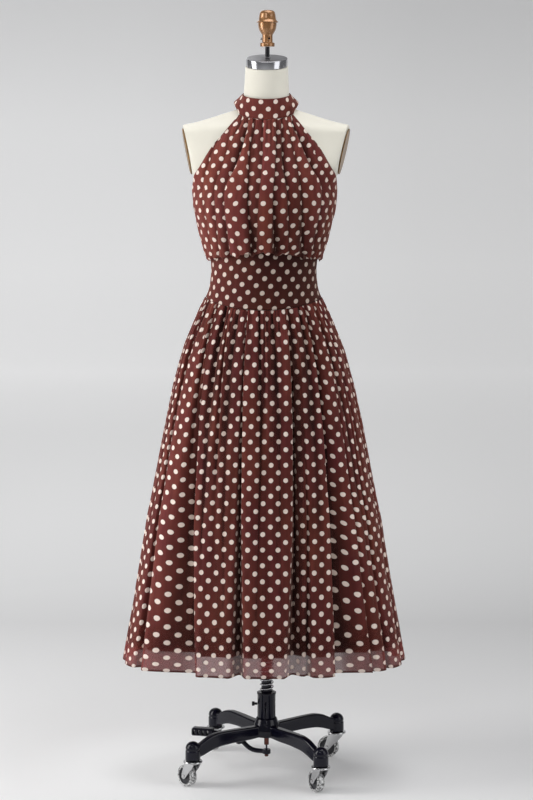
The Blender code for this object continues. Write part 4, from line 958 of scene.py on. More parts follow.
def tread(name):
    """Clear grey tyre over a dark core."""
    finish = Finish(name, (0.50, 0.50, 0.50), 0.2, 0.35, Coat_Weight=0.6)
    scuffs = finish.noise(finish.places(), 240.0, 4.0, 0.7)
    finish.toned(scuffs, 0.14, 1.5, 0.42, 0.60)
    finish.roughness(scuffs, 0.3, 0.7, 0.14, 0.45)
    finish.bump(scuffs, 0.0003, 0.5)
    return finish.material


def wheel_core(name):
    finish = Finish(name, (0.018, 0.018, 0.022), 0.4)
    scuffs = finish.noise(finish.places(), 300.0, 4.0, 0.7)
    finish.toned(scuffs, 1.0, 6.0, 0.52, 0.75)
    finish.bump(scuffs, 0.0002, 0.4)
    return finish.material


def made(name, maker, *arguments):
    """A finish by name, made once."""
    return bpy.data.materials.get(name) or maker(name, *arguments)


def black_enamel():
    return made("gloss_enamel", enamel)


def black_steel():
    return made("blackened_steel", steel)


# Cloth --------------------------------------------------------------------------------------


def sway(z):
    return np.interp(z, SWAY_Z, SWAY_X)


def ring_point(z, angle, offset=0.0):
    """Point on the lower dress at height z, moved out by offset. Arrays broadcast."""
    z, angle, offset = np.broadcast_arrays(z, angle, offset)
    sine, cosine = np.sin(angle), np.cos(angle)
    width = smooth(LOWER_DRESS["z"], LOWER_DRESS["half_width"], z)
    front = smooth(LOWER_DRESS["z"], LOWER_DRESS["front"], z)
    back = smooth(LOWER_DRESS["z"], LOWER_DRESS["back"], z)
    depth = np.where(cosine > 0, front, back)
    out = np.hypot(depth * sine, width * cosine)
    x = width * sine + offset * depth * sine / out
    y = -depth * cosine - offset * width * cosine / out
    return np.stack([x, y, z], axis=-1)


def seam_height(seam, angle):
    rise = np.where(np.cos(angle) > 0, seam[1], seam[2])
    return seam[0] + rise * np.cos(angle) ** 2


def along(points, axis):
    """Running length along an axis of (rows, columns, 3) points, from 0."""
    steps = np.linalg.norm(np.diff(points, axis=axis), axis=-1)
    lengths = np.cumsum(steps, axis=axis)
    start = np.zeros_like(np.take(lengths, [0], axis=axis))
    return np.concatenate([start, lengths], axis=axis)


def cloth_sheet(name, rows, uv_left, uv_right, material, closed=False, **fields):
    """A sheet through (rows, columns, 3) points, top row first and left to right from outside.

    uv_left and uv_right, of (rows, faces, 2), are the cloth's own metres at the two sides of
    each column of faces, so the print may be cut where the cloth folds away. Among the fields,
    folds is the painted shade of the cloth: 1 where it is darkest, as at the bottom of a deep
    fold, and below 0 where light is painted, as on a crest. spread is how far the cloth's
    threads stand apart.
    """
    points = np.array(rows)
    points[..., 0] += sway(points[..., 2])
    down, across = points.shape[:2]
    shape = bmesh.new()
    bmesh.ops.create_grid(shape, x_segments=across - 1, y_segments=down - 1, size=1.0)
    mesh = bpy.data.meshes.new(name)
    shape.to_mesh(mesh)
    shape.free()
    flat = np.empty(len(mesh.vertices) * 3)
    mesh.vertices.foreach_get("co", flat)
    flat = flat.reshape(-1, 3)
    column = np.rint((flat[:, 0] + 1) / 2 * (across - 1)).astype(int)
    row = np.rint((1 - flat[:, 1]) / 2 * (down - 1)).astype(int)
    mesh.vertices.foreach_set("co", points[row, column].ravel())
    corners = np.empty(len(mesh.loops), int)
    mesh.loops.foreach_get("vertex_index", corners)
    corner_row, corner_column = row[corners], column[corners]
    face = corner_column.reshape(-1, 4).min(axis=1).repeat(4)
    right = (corner_column > face)[:, None]
    places = np.where(right, uv_right[corner_row, face], uv_left[corner_row, face])
    layer = mesh.uv_layers.new(name="UVMap")
    layer.data.foreach_set("uv", places.ravel())
    for field, values in fields.items():
        kept = mesh.attributes.new(field, "FLOAT", "POINT")
        kept.data.foreach_set("value", values[row, column].astype(np.float32))
    if closed:
        shape = bmesh.new()
        shape.from_mesh(mesh)
        bmesh.ops.remove_doubles(shape, verts=shape.verts, dist=1e-6)
        shape.to_mesh(mesh)
        shape.free()
    mesh.update()
    obj = put(mesh, name, material, smooth_angle=0)
    solidify = obj.modifiers.new("wall", "SOLIDIFY")
    solidify.thickness = settings("dress").cloth_wall
    solidify.offset = -1.0
    solidify.use_even_offset = False
    return obj


def plain_uv(points, across_from=0, down_from=0):
    """Metres of cloth measured from one column and one row, with no cuts."""
    u = along(points, 1)
    u = u - u[:, [across_from]]
    v = -along(points, 0)
    v = v - v[[down_from]]
    uv = np.stack([u, v], axis=-1)
    return uv[:, :-1], uv[:, 1:]


# Skirt


def skirt_stations():
    """The skirt's folds as rows: angle at the hip seam and at the hem, how far the row lies to
    one side of its valley, and its offset near the seam, half-way down and at the hem."""
    rows = [(-180.0, -180.0, 0.0, 1, 2, 4)]
    for k, fold in enumerate(SKIRT_FOLDS):
        low, after = (min(SKIRT_FOLDS[i]["crown"], 0.0) for i in (k - 1, k))
        left, right = fold["left"], fold["right"]
        rows.append((fold["top"] - TOP_SPREAD * left, fold["hem"] - left, -left, 0, 0, low))
        rows.append((fold["top"], fold["hem"], 0.0, -fold["high"], -fold["mid"], -fold["low"]))
        rows.append((fold["top"] + TOP_SPREAD * right, fold["hem"] + right, right, 0, 0, after))
        if k + 1 < len(SKIRT_FOLDS):
            beyond = SKIRT_FOLDS[k + 1]
            top = (rows[-1][0] + beyond["top"] - TOP_SPREAD * beyond["left"]) / 2
            hem = (rows[-1][1] + beyond["hem"] - beyond["left"]) / 2
            crown = fold["crown"]
            rows.append((top, hem, 0.0, max(crown, 0) * 0.3, max(crown, 0) * 0.6, crown))
    rows.append((180.0, 180.0, 0.0, 1, 2, 4))
    rows = np.array(rows)
    rows[:, 3:] *= MM
    return rows


def hem_arc(angle):
    width, depth = LOWER_DRESS["half_width"][0], LOWER_DRESS["front"][0]
    return np.hypot(width * np.cos(angle), depth * np.sin(angle)) * np.pi / 180


def skirt_places(stations):
    """A running share of the cloth for each station, part by angle and part by length of hem."""
    angles = np.diff(stations[:, 0]) / 360
    middle = np.radians((stations[:-1, 1] + stations[1:, 1]) / 2)
    lengths = np.hypot(np.diff(stations[:, 1]) * hem_arc(middle), np.diff(stations[:, 5]))
    shares = (1 - FABRIC_SHARE) * angles + FABRIC_SHARE * lengths / lengths.sum()
    return np.concatenate([[0.0], np.cumsum(shares)])


def fold_offset(stations, places, place, share):
    """How far the large folds stand off the plain skirt, of (rows, columns)."""
    levels = smooth(places, stations[:, 3:], place[0])
    levels = np.concatenate([np.zeros((len(levels), 1)), levels], axis=1)
    return smooth(FOLD_SHARES, levels.T, share[:, 0])


def skirt_surface(stations, places, place, share, offset):
    """Points on the skirt at places across the cloth, of (1, columns), and shares of the way
    down, of (rows, 1)."""
    top = np.radians(smooth(places, stations[:, 0], place))
    hem = np.radians(smooth(places, stations[:, 1], place))
    # Folds stay narrow for most of their length and open towards the hem.
    bend = np.radians(smooth(places, stations[:, 2], place)) * (1 - TOP_SPREAD)
    angle = top + (hem - top) * share + bend * (share**2 - share)
    high = seam_height(HIP_SEAM, top) - HIP_DROP
    z = high + (seam_height(HEM, hem) - high) * share
    return ring_point(z, angle, fold_offset(stations, places, place, share) + offset)


def skirt_columns(stations, places, start, end, chance):
    """Places of the skirt's columns from start to end, the gather each one lies in as a running
    number, and the numbers at which the print is cut, which are valleys of the large folds."""
    long_folds = SKIRT_FOLDS[SKIRT_FOLDS["mid"] >= LONG_FOLD]
    homes = np.interp(long_folds["top"], stations[:, 0], places)
    cuts = [start, *(v for v in homes if start + CUT_MARGIN < v < end - CUT_MARGIN), end]
    edges, marks = [start], [0]
    for low, high in zip(cuts, cuts[1:]):
        count = max(1, round((high - low) * GATHERS))
        widths = chance.uniform(0.7, 1.3, count)
        edges.extend(low + (high - low) * np.cumsum(widths) / widths.sum())
        marks.append(marks[-1] + count)
    number = np.arange((len(edges) - 1) * GATHER_COLUMNS + 1) / GATHER_COLUMNS
    return np.interp(number, np.arange(len(edges)), edges), number, marks


def valleys(across, places, depth, left, right):
    """Folds as an offset of 0 or less. across is (rows, columns) in metres and the rest is
    (rows, folds). Each valley is sharp at its bottom and opens into round crests."""
    offset = np.zeros_like(across)
    for k in range(places.shape[1]):
        away = across - places[:, [k]]
        wide = np.where(away < 0, left[:, [k]], right[:, [k]])
        offset -= depth[:, [k]] * np.exp(0.25 - np.sqrt((away / wide) ** 2 + 0.0625))
    return offset


def ripples(across, down, chance, size, rate, slant=0.25):
    """Small soft creases that run mostly downwards, in the same units as size."""
    total = np.zeros(np.broadcast(across, down).shape)
    for _ in range(9):
        turn, slip = chance.uniform(0.5, 1.6) * rate, chance.normal(0, slant) * rate
        wave = np.sin(2 * np.pi * (turn * across + slip * down) + chance.uniform(0, 6.3))
        reach = np.sin(2 * np.pi * (chance.uniform(2, 6) * down + chance.uniform(0, 1)))
        total += size / 3 * wave * (0.6 + 0.4 * reach)
    return total


def short_folds(count, stray, fades, depths, power, wide, opening, away, across, chance):
    """Small folds that leave a seam, fade and open with the distance away from it. across is
    (rows, columns) in metres. Returns their offset and their mean depth in each row."""
    home = (np.arange(count) + 0.5 + chance.uniform(-stray, stray, count)) / count
    fade = chance.uniform(*fades, count)
    depth = chance.uniform(*depths, count) * MM * np.exp(-((away[:, None] / fade) ** power))
    wide = np.full((len(away), count), 1.0) * wide * MM * (1 + away[:, None] / opening)
    offset = valleys(across, home * across[:, [-1]], depth, wide, wide)
    return offset, depth.mean(axis=1, keepdims=True)


def gather_offsets(number, share, width, chance):
    """How far each column stands off the plain surface. Short gathers fade under the seam and
    the long ones open as they run down."""
    count = int(number[-1])
    pitch = width / count
    home = np.arange(count + 1) + chance.uniform(-0.12, 0.12, count + 1)
    depth = chance.uniform(*GATHER_DEPTHS, count + 1)
    fade = chance.uniform(*SHORT_GATHERS, count + 1)
    # Every second or third gather is a long one.
    k = 0
    while k <= count:
        fade[k] = chance.uniform(*LONG_GATHERS)
        depth[k] *= chance.uniform(*LONG_GAINS)
        k += chance.choice((2, 3, 3, 4))
    far = share[:, None]
    grown = 0.5 + 0.5 * np.clip(far / 0.035, 0, 1)
    size = depth[None, :] * MM * grown * np.exp(-((far / fade[None, :]) ** 1.7))
    open_left = chance.uniform(0.5, 1.9, count + 1)
    open_right = chance.uniform(0.5, 1.9, count + 1)
    spread = (1.7 + 5.0 * np.clip(far / 0.28, 0, 1) ** 0.8) * MM
    wander = chance.normal(0, 1.6, count + 1)[None, :] * np.clip(far / 0.3, 0, 1)
    across = number[None, :] * pitch[:, None]
    places = (home[None, :] + wander * 0.35) * pitch[:, None]
    offset = valleys(across, places, size, spread * open_left, spread * open_right)
    lift = size.mean(axis=1, keepdims=True) * 0.62
    soft = ripples(across / 0.1, far * 2, chance, 1.3 * MM, 1.6, 0.1)
    return offset + lift + soft * np.clip(far / 0.1, 0, 1) * (1 - 0.4 * far)


def skirt_print(points, plain, marks, chance, share, scale):
    """The cloth's metres on both sides of each column of faces. Between two marks the print is
    laid out from their middle, and near the hip seam from the middle of each gather."""
    across = along(points, 1)
    length = along(plain, 0)
    width = across[:, -1]
    grow = (width[-1] / width) ** 0.22
    hem = across[-1]
    faces = np.arange(points.shape[1] - 1)
    gather = faces // GATHER_COLUMNS
    marks = np.array(marks) * GATHER_COLUMNS
    panel = np.searchsorted(marks, faces, side="right") - 1
    anchor = (marks[panel] + marks[panel + 1]) // 2
    fade = chance.uniform(0.10, 0.2, gather.max() + 1)
    turn_row = np.searchsorted(share, fade)[gather]
    middle = gather * GATHER_COLUMNS + GATHER_COLUMNS // 2
    rows = np.arange(len(share))[:, None]
    # Wide slopes show the cloth on the bias, with its print drawn out sideways.
    far = smooth((0.3, 0.62), (0.0, 1.0), share)[:, None]
    drawn = 1 - (1 - scale[panel])[None, :] * far
    # On the left one the columns stay upright. On both the rows dip to the right above the hem.
    left, right = ((scale[panel] < 1) & (side * points[-1, anchor, 0] > 0) for side in (-1, 1))
    upright = 0.82 * left * (points[:, anchor, 0] - points[-1, anchor, 0])
    dip = (0.12 * left + 0.24 * right) * far * smooth((0.66, 0.92), (1.0, 0.0), share)[:, None]
    uv = []
    for side in (0, 1):
        column = faces + side
        low = (across[:, column] - across[:, anchor]) * grow[:, None] * drawn
        low = hem[anchor] + low + upright
        # Where the gather begins, its middle keeps the place that it has in the fold's print.
        held = hem[anchor] + (across[turn_row, middle] - across[turn_row, anchor]) * grow[turn_row]
        held += upright[turn_row, faces]
        high = held + (across[:, column] - across[:, middle]) * grow[:, None]
        u = np.where(rows < turn_row, high, low)
        v = length[-1, column] - length[:, column]
        near = np.minimum(v, 0.3)
        v = v - 0.2 * near + 0.2 * near**2 / 0.6
        u = 0.97 * u - 0.043 * (v - 0.5)
        # The hem turns in, and shows its print flattened.
        v = v + HEM_TURN * (1 - np.exp(-v / 0.03))
        v = v + dip * (points[:, column, 0] - points[:, anchor, 0])
        uv.append(np.stack([u, v], axis=-1))
    return uv


def skirt(start_angle, end_angle, seed):
    """One panel of the gathered skirt, between the angles of its two seams: its points, its
    print and its other fields."""
    stations = skirt_stations()
    places = skirt_places(stations)
    start, end = np.interp((start_angle, end_angle), stations[:, 0], places)
    chance = np.random.RandomState(seed)
    place, number, marks = skirt_columns(stations, places, start, end, chance)
    share = np.linspace(0, 1, SKIRT_ROWS) ** ROW_CROWDING
    plain = skirt_surface(stations, places, place[None, :], share[:, None], 0.0)
    width = along(plain, 1)[:, -1]
    offset = gather_offsets(number, share, width, chance)
    ease = np.clip(np.minimum(number, number[-1] - number) / 0.5, 0, 1)
    points = skirt_surface(stations, places, place[None, :], share[:, None], offset * ease)
    # Painted shade: darker in the large folds and the gathers, sharper near the hip seam, and
    # lighter on slopes that face the left, as if lit from there.
    fold = fold_offset(stations, places, place[None, :], share[:, None])
    crisp = 1 + 0.5 * np.exp(-share[:, None] / 0.07)
    deep = np.clip((1 * MM - fold) / (24 * MM), -0.1, 1.0)
    deep = deep + crisp * np.clip(-offset / (5.5 * MM), -0.45, 0.9)
    slope = np.gradient(fold + offset, axis=1) / np.gradient(along(points, 1), axis=1)
    deep -= 0.18 * np.clip(slope / 0.7, -1, 1)
    # Below the lining the light comes through.
    below = smooth((0.93, 0.955), (0.0, 1.0), share)[:, None]
    deep = deep * (1 - 0.6 * below) - 0.22 * below
    # The left side of the skirt faces the light.
    hem_angle = smooth(places, stations[:, 1], place)
    facing = np.sin(np.radians(hem_angle))
    deep -= (0.42 * smooth((0.25, 0.8), (0.0, 1.0), -facing) - 0.08 * facing)[None, :]
    middles = np.interp(place[np.array(marks) * GATHER_COLUMNS], places, stations[:, 1])
    middles = (middles[1:] + middles[:-1]) / 2
    beside = np.abs(middles[:, None] - SLOPES_AT).min(axis=1) < SLOPE_REACH
    scale = np.where(beside, SLOPE_PRINT, 1.0)
    # The crest beside the wide slope on the left catches the light.
    hip_angle = smooth(places, stations[:, 0], place)
    lit = np.exp(-(((hip_angle - LIT_CREST) / LIT_WIDTH) ** 2))
    deep -= 0.45 * lit[None, :] * smooth((0.0, 0.45, 0.9), (1.0, 0.9, 0.0), share)[:, None]
    # Above the lining's edge nothing shows through.
    spread = np.interp(hem_angle, *HEM_SPREAD.T)[None, :]
    spread = spread * smooth((0.86, 0.92), (0.25, 1.0), share)[:, None]
    uv = skirt_print(points, plain, marks, chance, share, scale)
    return points, uv, {"folds": np.clip(deep, *SHADES), "spread": spread}


def lining_surface():
    stations = skirt_stations()
    places = skirt_places(stations)
    part = np.arange(LINING_COLUMNS + 1) / LINING_COLUMNS
    place = np.interp(part, np.linspace(0, 1, len(places)), places)
    stretch = (HEM[0] - HIP_SEAM[0]) / (LINING_HEM - HIP_SEAM[0])
    rows = np.linspace(0, 1, LINING_ROWS)
    inset = LINING_INSET_TOP + (LINING_INSET - LINING_INSET_TOP) * np.clip(rows / 0.08, 0, 1)
    share = rows / stretch
    return skirt_surface(stations, places, place[None, :], share[:, None], -inset[:, None])


# Bodice


def neck_seam(angle):
    width, front, back = NECK_SEAM
    depth = np.where(np.cos(angle) > 0, front, back)
    z = smooth(NECK_SEAM_ANGLE, NECK_SEAM_Z, np.degrees(np.abs(angle)))
    return np.stack([width * np.sin(angle), -depth * np.cos(angle), z], axis=-1)


def bodice_row(row, place):
    reach = math.acos(row["y_edge"] / row["depth"])
    angle = place * reach
    x = row["x_edge"] / math.sin(reach) * np.sin(angle)
    y = row["depth"] * np.cos(angle)
    z = row["z_mid"] + (row["z_edge"] - row["z_mid"]) * (np.sin(angle) / math.sin(reach)) ** 2
    return np.stack([x, y, z], axis=-1)


def surface_normals(rows):
    down = np.gradient(rows, axis=0)
    across = np.gradient(rows, axis=1)
    normals = np.cross(down, across)
    normals /= np.linalg.norm(normals, axis=-1, keepdims=True)
    outwards = (normals[..., :2] * rows[..., :2]).sum(axis=-1, keepdims=True)
    return normals * np.where(outwards < 0, -1.0, 1.0)


def bodice(table, folds, start, end, side, seed):
    """A bodice panel between the places start and end; side is -1 in front and +1 at the back.
    Returns its points, its plain points, the strip of cloth that each column lies in as a
    running number, the row over the bust and the painted shade of the cloth."""
    chance = np.random.RandomState(seed)
    heights = np.array(FOLD_HEIGHTS)[::-1]
    homes = np.array([fold[0] for fold in folds], float).T[::-1] * MM
    depths = np.array([fold[1] for fold in folds], float).T[::-1] * MM
    opens = np.array([fold[2] for fold in folds], float) * MM
    count = len(folds)
    index = np.arange((count + 1) * FOLD_COLUMNS + 1) / FOLD_COLUMNS
    plain, levels = [], []
    for k in range(-1, len(table) + 2):
        row = table[min(max(k, 0), len(table) - 1)]
        if k == -1:
            level, reach, wide = FOLD_HEIGHTS[0], math.radians(NECK_REACH), NECK_SEAM[0]
        elif k < len(table):
            level = row["z_mid"]
            reach = math.acos(row["y_edge"] / row["depth"])
            wide = row["x_edge"] / math.sin(reach)
        else:
            level, reach, wide = FOLD_HEIGHTS[-1], QUARTER_TURN, WAIST_HALF_WIDTH
        home = smooth(heights, homes, np.array([level]))[0]
        guides = np.arcsin(np.clip(home / wide, -0.985, 0.985)) / reach
        guides = np.concatenate([[start], guides, [end]])
        # Folds keep their order and a little cloth between them.
        for i in range(1, len(guides)):
            guides[i] = max(guides[i], guides[i - 1] + FOLD_GAP)
        guides[-1] = end
        for i in range(len(guides) - 2, 0, -1):
            guides[i] = min(guides[i], guides[i + 1] - FOLD_GAP)
        place = np.interp(index, np.arange(count + 2), guides)
        if k == -1:
            turn = reach * place
            points = neck_seam(turn if side < 0 else np.pi - turn) * (1, side, 1)
            points[:, 2] -= 0.5 * MM
        elif k < len(table):
            points = bodice_row(row, place)
        else:
            turn = place * reach
            around = turn if side < 0 else np.pi - turn
            turned_in = k > len(table)
            lift, out = (SEAM_LAP, 0.4 * MM) if turned_in else (BLOUSE_TURN_RISE, BLOUSE_TURN)
            points = ring_point(seam_height(WAIST_SEAM, around) - lift, around, out) * (1, side, 1)
        plain.append(points)
        levels.append(level)
    plain = np.array(plain)
    lengths = along(plain, 0).mean(axis=1)
    # The rows crowd towards the neckband and the waist.
    shares = smooth((0, 0.12, 0.74, 1), (0, 0.10, 0.84, 1), np.linspace(0, 1, BODICE_ROWS))
    down = shares * lengths[-1]
    fine = smooth(lengths, plain, down)
    level = np.interp(down, lengths, levels)
    left_over = lengths[-1] - down
    across = along(fine, 1)
    home = across[:, :: FOLD_COLUMNS][:, 1:-1]
    depth = smooth(heights, depths, level)
    tight = np.interp(down, (0, 0.05, 0.2), (0.45, 0.7, 1.0))[:, None]
    offset = valleys(across, home, depth, opens[:, 0] * tight, opens[:, 1] * tight)
    # On the steep side of a valley a dark crease line is painted beside a painted bright edge,
    # where the cloth would lie over.
    core = np.full(depth.shape, 1.4 * MM)
    strong = np.clip(depth / (9 * MM), 0, 1.2)
    over = np.where(opens[:, 0] < opens[:, 1], -opens[:, 0], opens[:, 1]) * 0.8 * tight
    painted_crease = 0.28 * valleys(across, home + over, strong, core, core)
    painted_crease = painted_crease - 0.5 * valleys(across, home, strong, core, core)
    offset += depth.mean(axis=1, keepdims=True) * 0.5
    middle = (across[:, [0]] + across[:, [-1]]) / 2
    width = across[:, [-1]]
    part = across / width
    spot = part * width
    # Small pleats close under the neckband run out over the bust, and gathers are drawn into
    # the waist seam.
    panel = 0 if start < 0 else 1
    pleats = (NECK_PLEATS[panel], 0.3, (0.03, 0.09), (1.6, 2.8), 1.5, 2.4, 0.06, down)
    tucks = (WAIST_TUCKS[panel], 0.32, (0.022, 0.055), (2.4, 5.0), 1.6, 3.0, 0.05, left_over)
    pleated, lift = short_folds(*pleats, spot, chance)
    offset += pleated + lift * 0.5
    tucked, lift = short_folds(*tucks, spot, chance)
    offset += tucked + lift * 0.75
    creases = ((across - middle) / 0.1, down[:, None] * 10, chance)
    offset += ripples(*creases, 0.9 * MM, 2.0, 0.45)
    # The cloth is crushed above the waist seam at one side.
    crushed = np.interp(left_over, (0.0, 0.03, 0.11), (1.0, 1.0, 0.0))[:, None]
    crushed = smooth((0.55, 0.75), (0.0, 1.0), part) * crushed
    offset += crushed * ripples(*creases, 2.2 * MM, 2.6, 0.9)
    close = np.interp(left_over, (0.0, 0.003, 0.008, 0.016), (0.0, 0.15, 0.7, 1.0))
    open_up = np.interp(down, (0.0, 0.004, 0.02), (0.35, 0.7, 1.0))
    from_edge = np.minimum(across, across[:, [-1]] - across)
    ease = np.clip(from_edge / 0.010, 0, 1) ** 0.7
    offset = offset * (close * open_up)[:, None] * ease
    points = fine + surface_normals(fine) * offset[..., None]
    # The loops over the seam hang unevenly.
    near_turn = np.exp(-(((left_over - 0.009) / 0.009) ** 2))[:, None]
    hang = ripples(spot / 0.1, 0.0, chance, 2.4 * MM, 3.2) - tucked * 0.7
    points[..., 2] += near_turn * (hang + 0.5 * MM) * ease
    bust = int(np.abs(level - BUST_Z).argmin())
    # Painted shade: darker in the valleys, and lighter on slopes that face the left, as if lit from
    # there.
    slope = np.gradient(offset, axis=1) / np.gradient(across, axis=1)
    deep = (1.2 * MM - offset) / (9.5 * MM) - 0.2 * np.clip(slope / 0.7, -1, 1)
    # Under the bust the blouse turns away from the light, most of all on the right.
    aside = fine[..., 0] / np.abs(fine[..., 0]).max()
    deep += smooth((1.235, 1.335), (1.0, 0.0), level)[:, None] * (0.24 + 0.2 * aside)
    # Painted shade darkens the right side, and the painted crease lines fade out towards the waist
    # seam.
    shown = np.interp(left_over, (0.004, 0.03), (0.0, 1.0))[:, None]
    deep += 0.02 + 0.26 * aside + painted_crease * shown
    return points * (1, side, 1), fine * (1, side, 1), index, bust, np.clip(deep, *SHADES)


def bodice_print(points, plain, index, bust, shifts):
    """The print stands upright on the bodice. It is laid from the centre outwards over the
    folds, and jumps by its own shift at each valley, where some of the cloth is hidden."""
    across = along(points, 1)
    length = along(plain, 0)
    centre = np.abs(plain[:, :, 0]).argmin(axis=1)
    rows = np.arange(len(plain))
    across = across - across[rows, centre][:, None]
    width = across[:, -1] - across[:, 0]
    grow = np.where(rows < bust, 1.0, width[bust] / width)
    # Pleats hide some of the cloth under the neckband.
    grow = grow + 0.16 * np.exp(-((rows / (0.3 * bust)) ** 2))
    middle = int(np.median(centre))
    level = plain[:, [middle], 2]
    v = (length[bust, middle] - length[:, middle])[:, None] + 1.03 * (plain[..., 2] - level)
    panel = np.floor((index[:-1] + index[1:]) / 2 + 1e-6).astype(int)
    shift = np.array(shifts)[panel] * MM
    uv = []
    for side in (0, 1):
        column = np.arange(points.shape[1] - 1) + side
        u = across[:, column] * grow[:, None] + shift - 0.045 * v[:, column]
        uv.append(np.stack([u, v[:, column]], axis=-1))
    return uv


# Operators ----------------------------------------------------------------------------------


class DRESS_OT_neckband(bpy.types.Operator):
    """Neckband that folds over round the neck"""

    bl_idname = "dress.neckband"
    bl_label = "Neckband"

    def execute(self, context):
        angle = np.radians(np.linspace(-180, 180, NECKBAND_COLUMNS + 1))
        front = np.cos(angle) > 0
        rows = []
        for row in NECKBAND:
            depth = np.where(front, row["front"], row["back"])
            rise = np.where(front, row["z_front"] - row["z_side"], row["z_back"] - row["z_side"])
            z = row["z_side"] + rise * np.abs(np.cos(angle))
            x, y = row["half_width"] * np.sin(angle), -depth * np.cos(angle)
            rows.append(np.stack([x, y, z], axis=-1))
        rows.append(neck_seam(angle))
        last = len(rows) - 1
        fine = smooth(np.arange(last + 1), np.array(rows), np.linspace(0, last, NECKBAND_ROWS))
        t = np.linspace(0, 1, NECKBAND_ROWS)[:, None]
        creases = 0.5 * MM * np.sin(7 * angle + 3 * t) + 0.35 * MM * np.sin(13 * angle - 5 * t)
        creases = creases * np.sin(np.pi * t) * np.sin(angle / 2 + np.pi / 2) ** 2
        fine = fine + surface_normals(fine) * creases[..., None]
        uv = plain_uv(fine, across_from=NECKBAND_COLUMNS // 2)
        material = made("neckband_chiffon", chiffon, False, 0.0335, 0.0, (0.0046, -0.0240))
        # Painted shade, darker towards the right side.
        deep = np.broadcast_to(0.18 + 0.3 * np.sin(angle), fine.shape[:2])
        obj = cloth_sheet("neckband_cloth", fine, *uv, material, folds=deep)
        stands_for(obj, "dressed_form", "printed_chiffon", "neckband")
        return {"FINISHED"}


class DRESS_OT_bodice(bpy.types.Operator):
    """Front and two back panels of the gathered bodice"""

    bl_idname = "dress.bodice"
    bl_label = "Bodice"

    def execute(self, context):
        material = made("bodice_chiffon", chiffon, False, None, 0.0, (0.0155, -0.0060), 0.17)
        points, plain, index, bust, deep = bodice(FRONT_ROWS, FRONT_FOLDS, -1.0, 1.0, -1, 3)
        uv = bodice_print(points, plain, index, bust, FRONT_SHIFTS)
        obj = cloth_sheet("bodice_front_cloth", points, *uv, material, folds=deep)
        stands_for(obj, "dressed_form", "printed_chiffon", "bodice_front")
        for name, mirror, seed in (("bodice_back_left", -1, 8), ("bodice_back_right", 1, 9)):
            points, plain, index, bust, deep = bodice(BACK_ROWS, BACK_FOLDS, 0.0, 1.0, 1, seed)
            points, plain = points * (mirror, 1, 1), plain * (mirror, 1, 1)
            if mirror > 0:
                points, plain, deep = points[:, ::-1], plain[:, ::-1], deep[:, ::-1]
                index = index[-1] - index[::-1]
            uv = bodice_print(points, plain, index, bust, BACK_SHIFTS)
            obj = cloth_sheet(f"{name}_cloth", points, *uv, material, folds=deep)
            stands_for(obj, "dressed_form", "printed_chiffon", name)
        return {"FINISHED"}


class DRESS_OT_midriff(bpy.types.Operator):
    """Fitted band between the bodice and the skirt"""

    bl_idname = "dress.midriff"
    bl_label = "Midriff band"

    def execute(self, context):
        turn = math.radians(3.0)
        material = made("midriff_chiffon", chiffon, False, 0.0325, turn, (0.0168, -0.0112))
        panels = (
            ("midriff_front", -90, 90, 96, 48, (0.37, 0.14, 0.0395)),
            ("midriff_back_right", 90, 180, 48, 48, (0.185, 0.115, 0.0168)),
            ("midriff_back_left", 180, 270, 48, 0, (0.185, 0.115, 0.0168)),
        )
        for name, start, end, columns, middle, flat in panels:
            degrees = np.linspace(start, end, columns + 1)
            angle = np.radians(degrees)
            t = np.linspace(0, 1, MIDRIFF_ROWS + 1)[:, None]
            top, bottom = seam_height(WAIST_SEAM, angle), seam_height(HIP_SEAM, angle)
            z = top + (bottom - top) * t
            # Shallow drag creases run in from the side seams.
            from_front = np.abs(np.where(degrees > 180, degrees - 360, degrees))
            side = np.exp(-((np.abs(from_front - 90) / 16) ** 2))
            crease = 0.7 * MM * side * np.abs(np.sin(np.pi * (4.5 * t + 0.02 * degrees))) ** 0.7
            crease = crease * np.sin(np.pi * t)
            points = ring_point(z, np.broadcast_to(angle, z.shape), crease - 0.2 * MM * side)
            uv = plain_uv(points, across_from=middle, down_from=MIDRIFF_ROWS // 2)
            for place in uv:
                place[..., 0] -= 0.05 * place[..., 1]
            # The blouse keeps the band in half shade, but for its left side.
            aside = np.sin(angle)
            shaded = smooth((-0.85, -0.05), (0.0, 1.0), aside)
            deep = 0.24 + 0.58 * shaded + 0.16 * np.maximum(aside, 0)
            deep = deep + 0.24 * np.exp(-((t / 0.16) ** 2)) - 130 * crease
            deep = np.clip(deep, *SHADES)
            obj = cloth_sheet(f"{name}_cloth", points, *uv, material, folds=deep)
            stands_for(obj, "dressed_form", "printed_chiffon", name)
        return {"FINISHED"}


class DRESS_OT_skirt(bpy.types.Operator):
    """Gathered sheer skirt in three panels"""

    bl_idname = "dress.skirt"
    bl_label = "Skirt"

    def execute(self, context):
        material = made("skirt_chiffon", chiffon, True, None, 0.0, (0.0245, 0.0220), 0.82)
        panels = (
            ("skirt_back_left", -180, -90, 21, (0.58, 0.92)),
            ("skirt_front", -90, 90, 5, (1.12, 0.92)),
            ("skirt_back_right", 90, 180, 34, (0.58, 0.92)),
        )
        for name, start, end, seed, flat in panels:
            points, uv, fields = skirt(start, end, seed)
            obj = cloth_sheet(f"{name}_cloth", points, *uv, material, **fields)
            stands_for(obj, "dressed_form", "printed_chiffon", name)
        return {"FINISHED"}


class DRESS_OT_lining(bpy.types.Operator):
    """Opaque lining that ends above the hem"""

    bl_idname = "dress.lining"
    bl_label = "Lining"

    def execute(self, context):
        points = lining_surface()
        material = made("lining_twill", lining_cloth)
        obj = cloth_sheet("skirt_lining_cloth", points, *plain_uv(points), material, closed=True)
        stands_for(obj, "dressed_form", "lining_cloth", "skirt_lining")
        return {"FINISHED"}


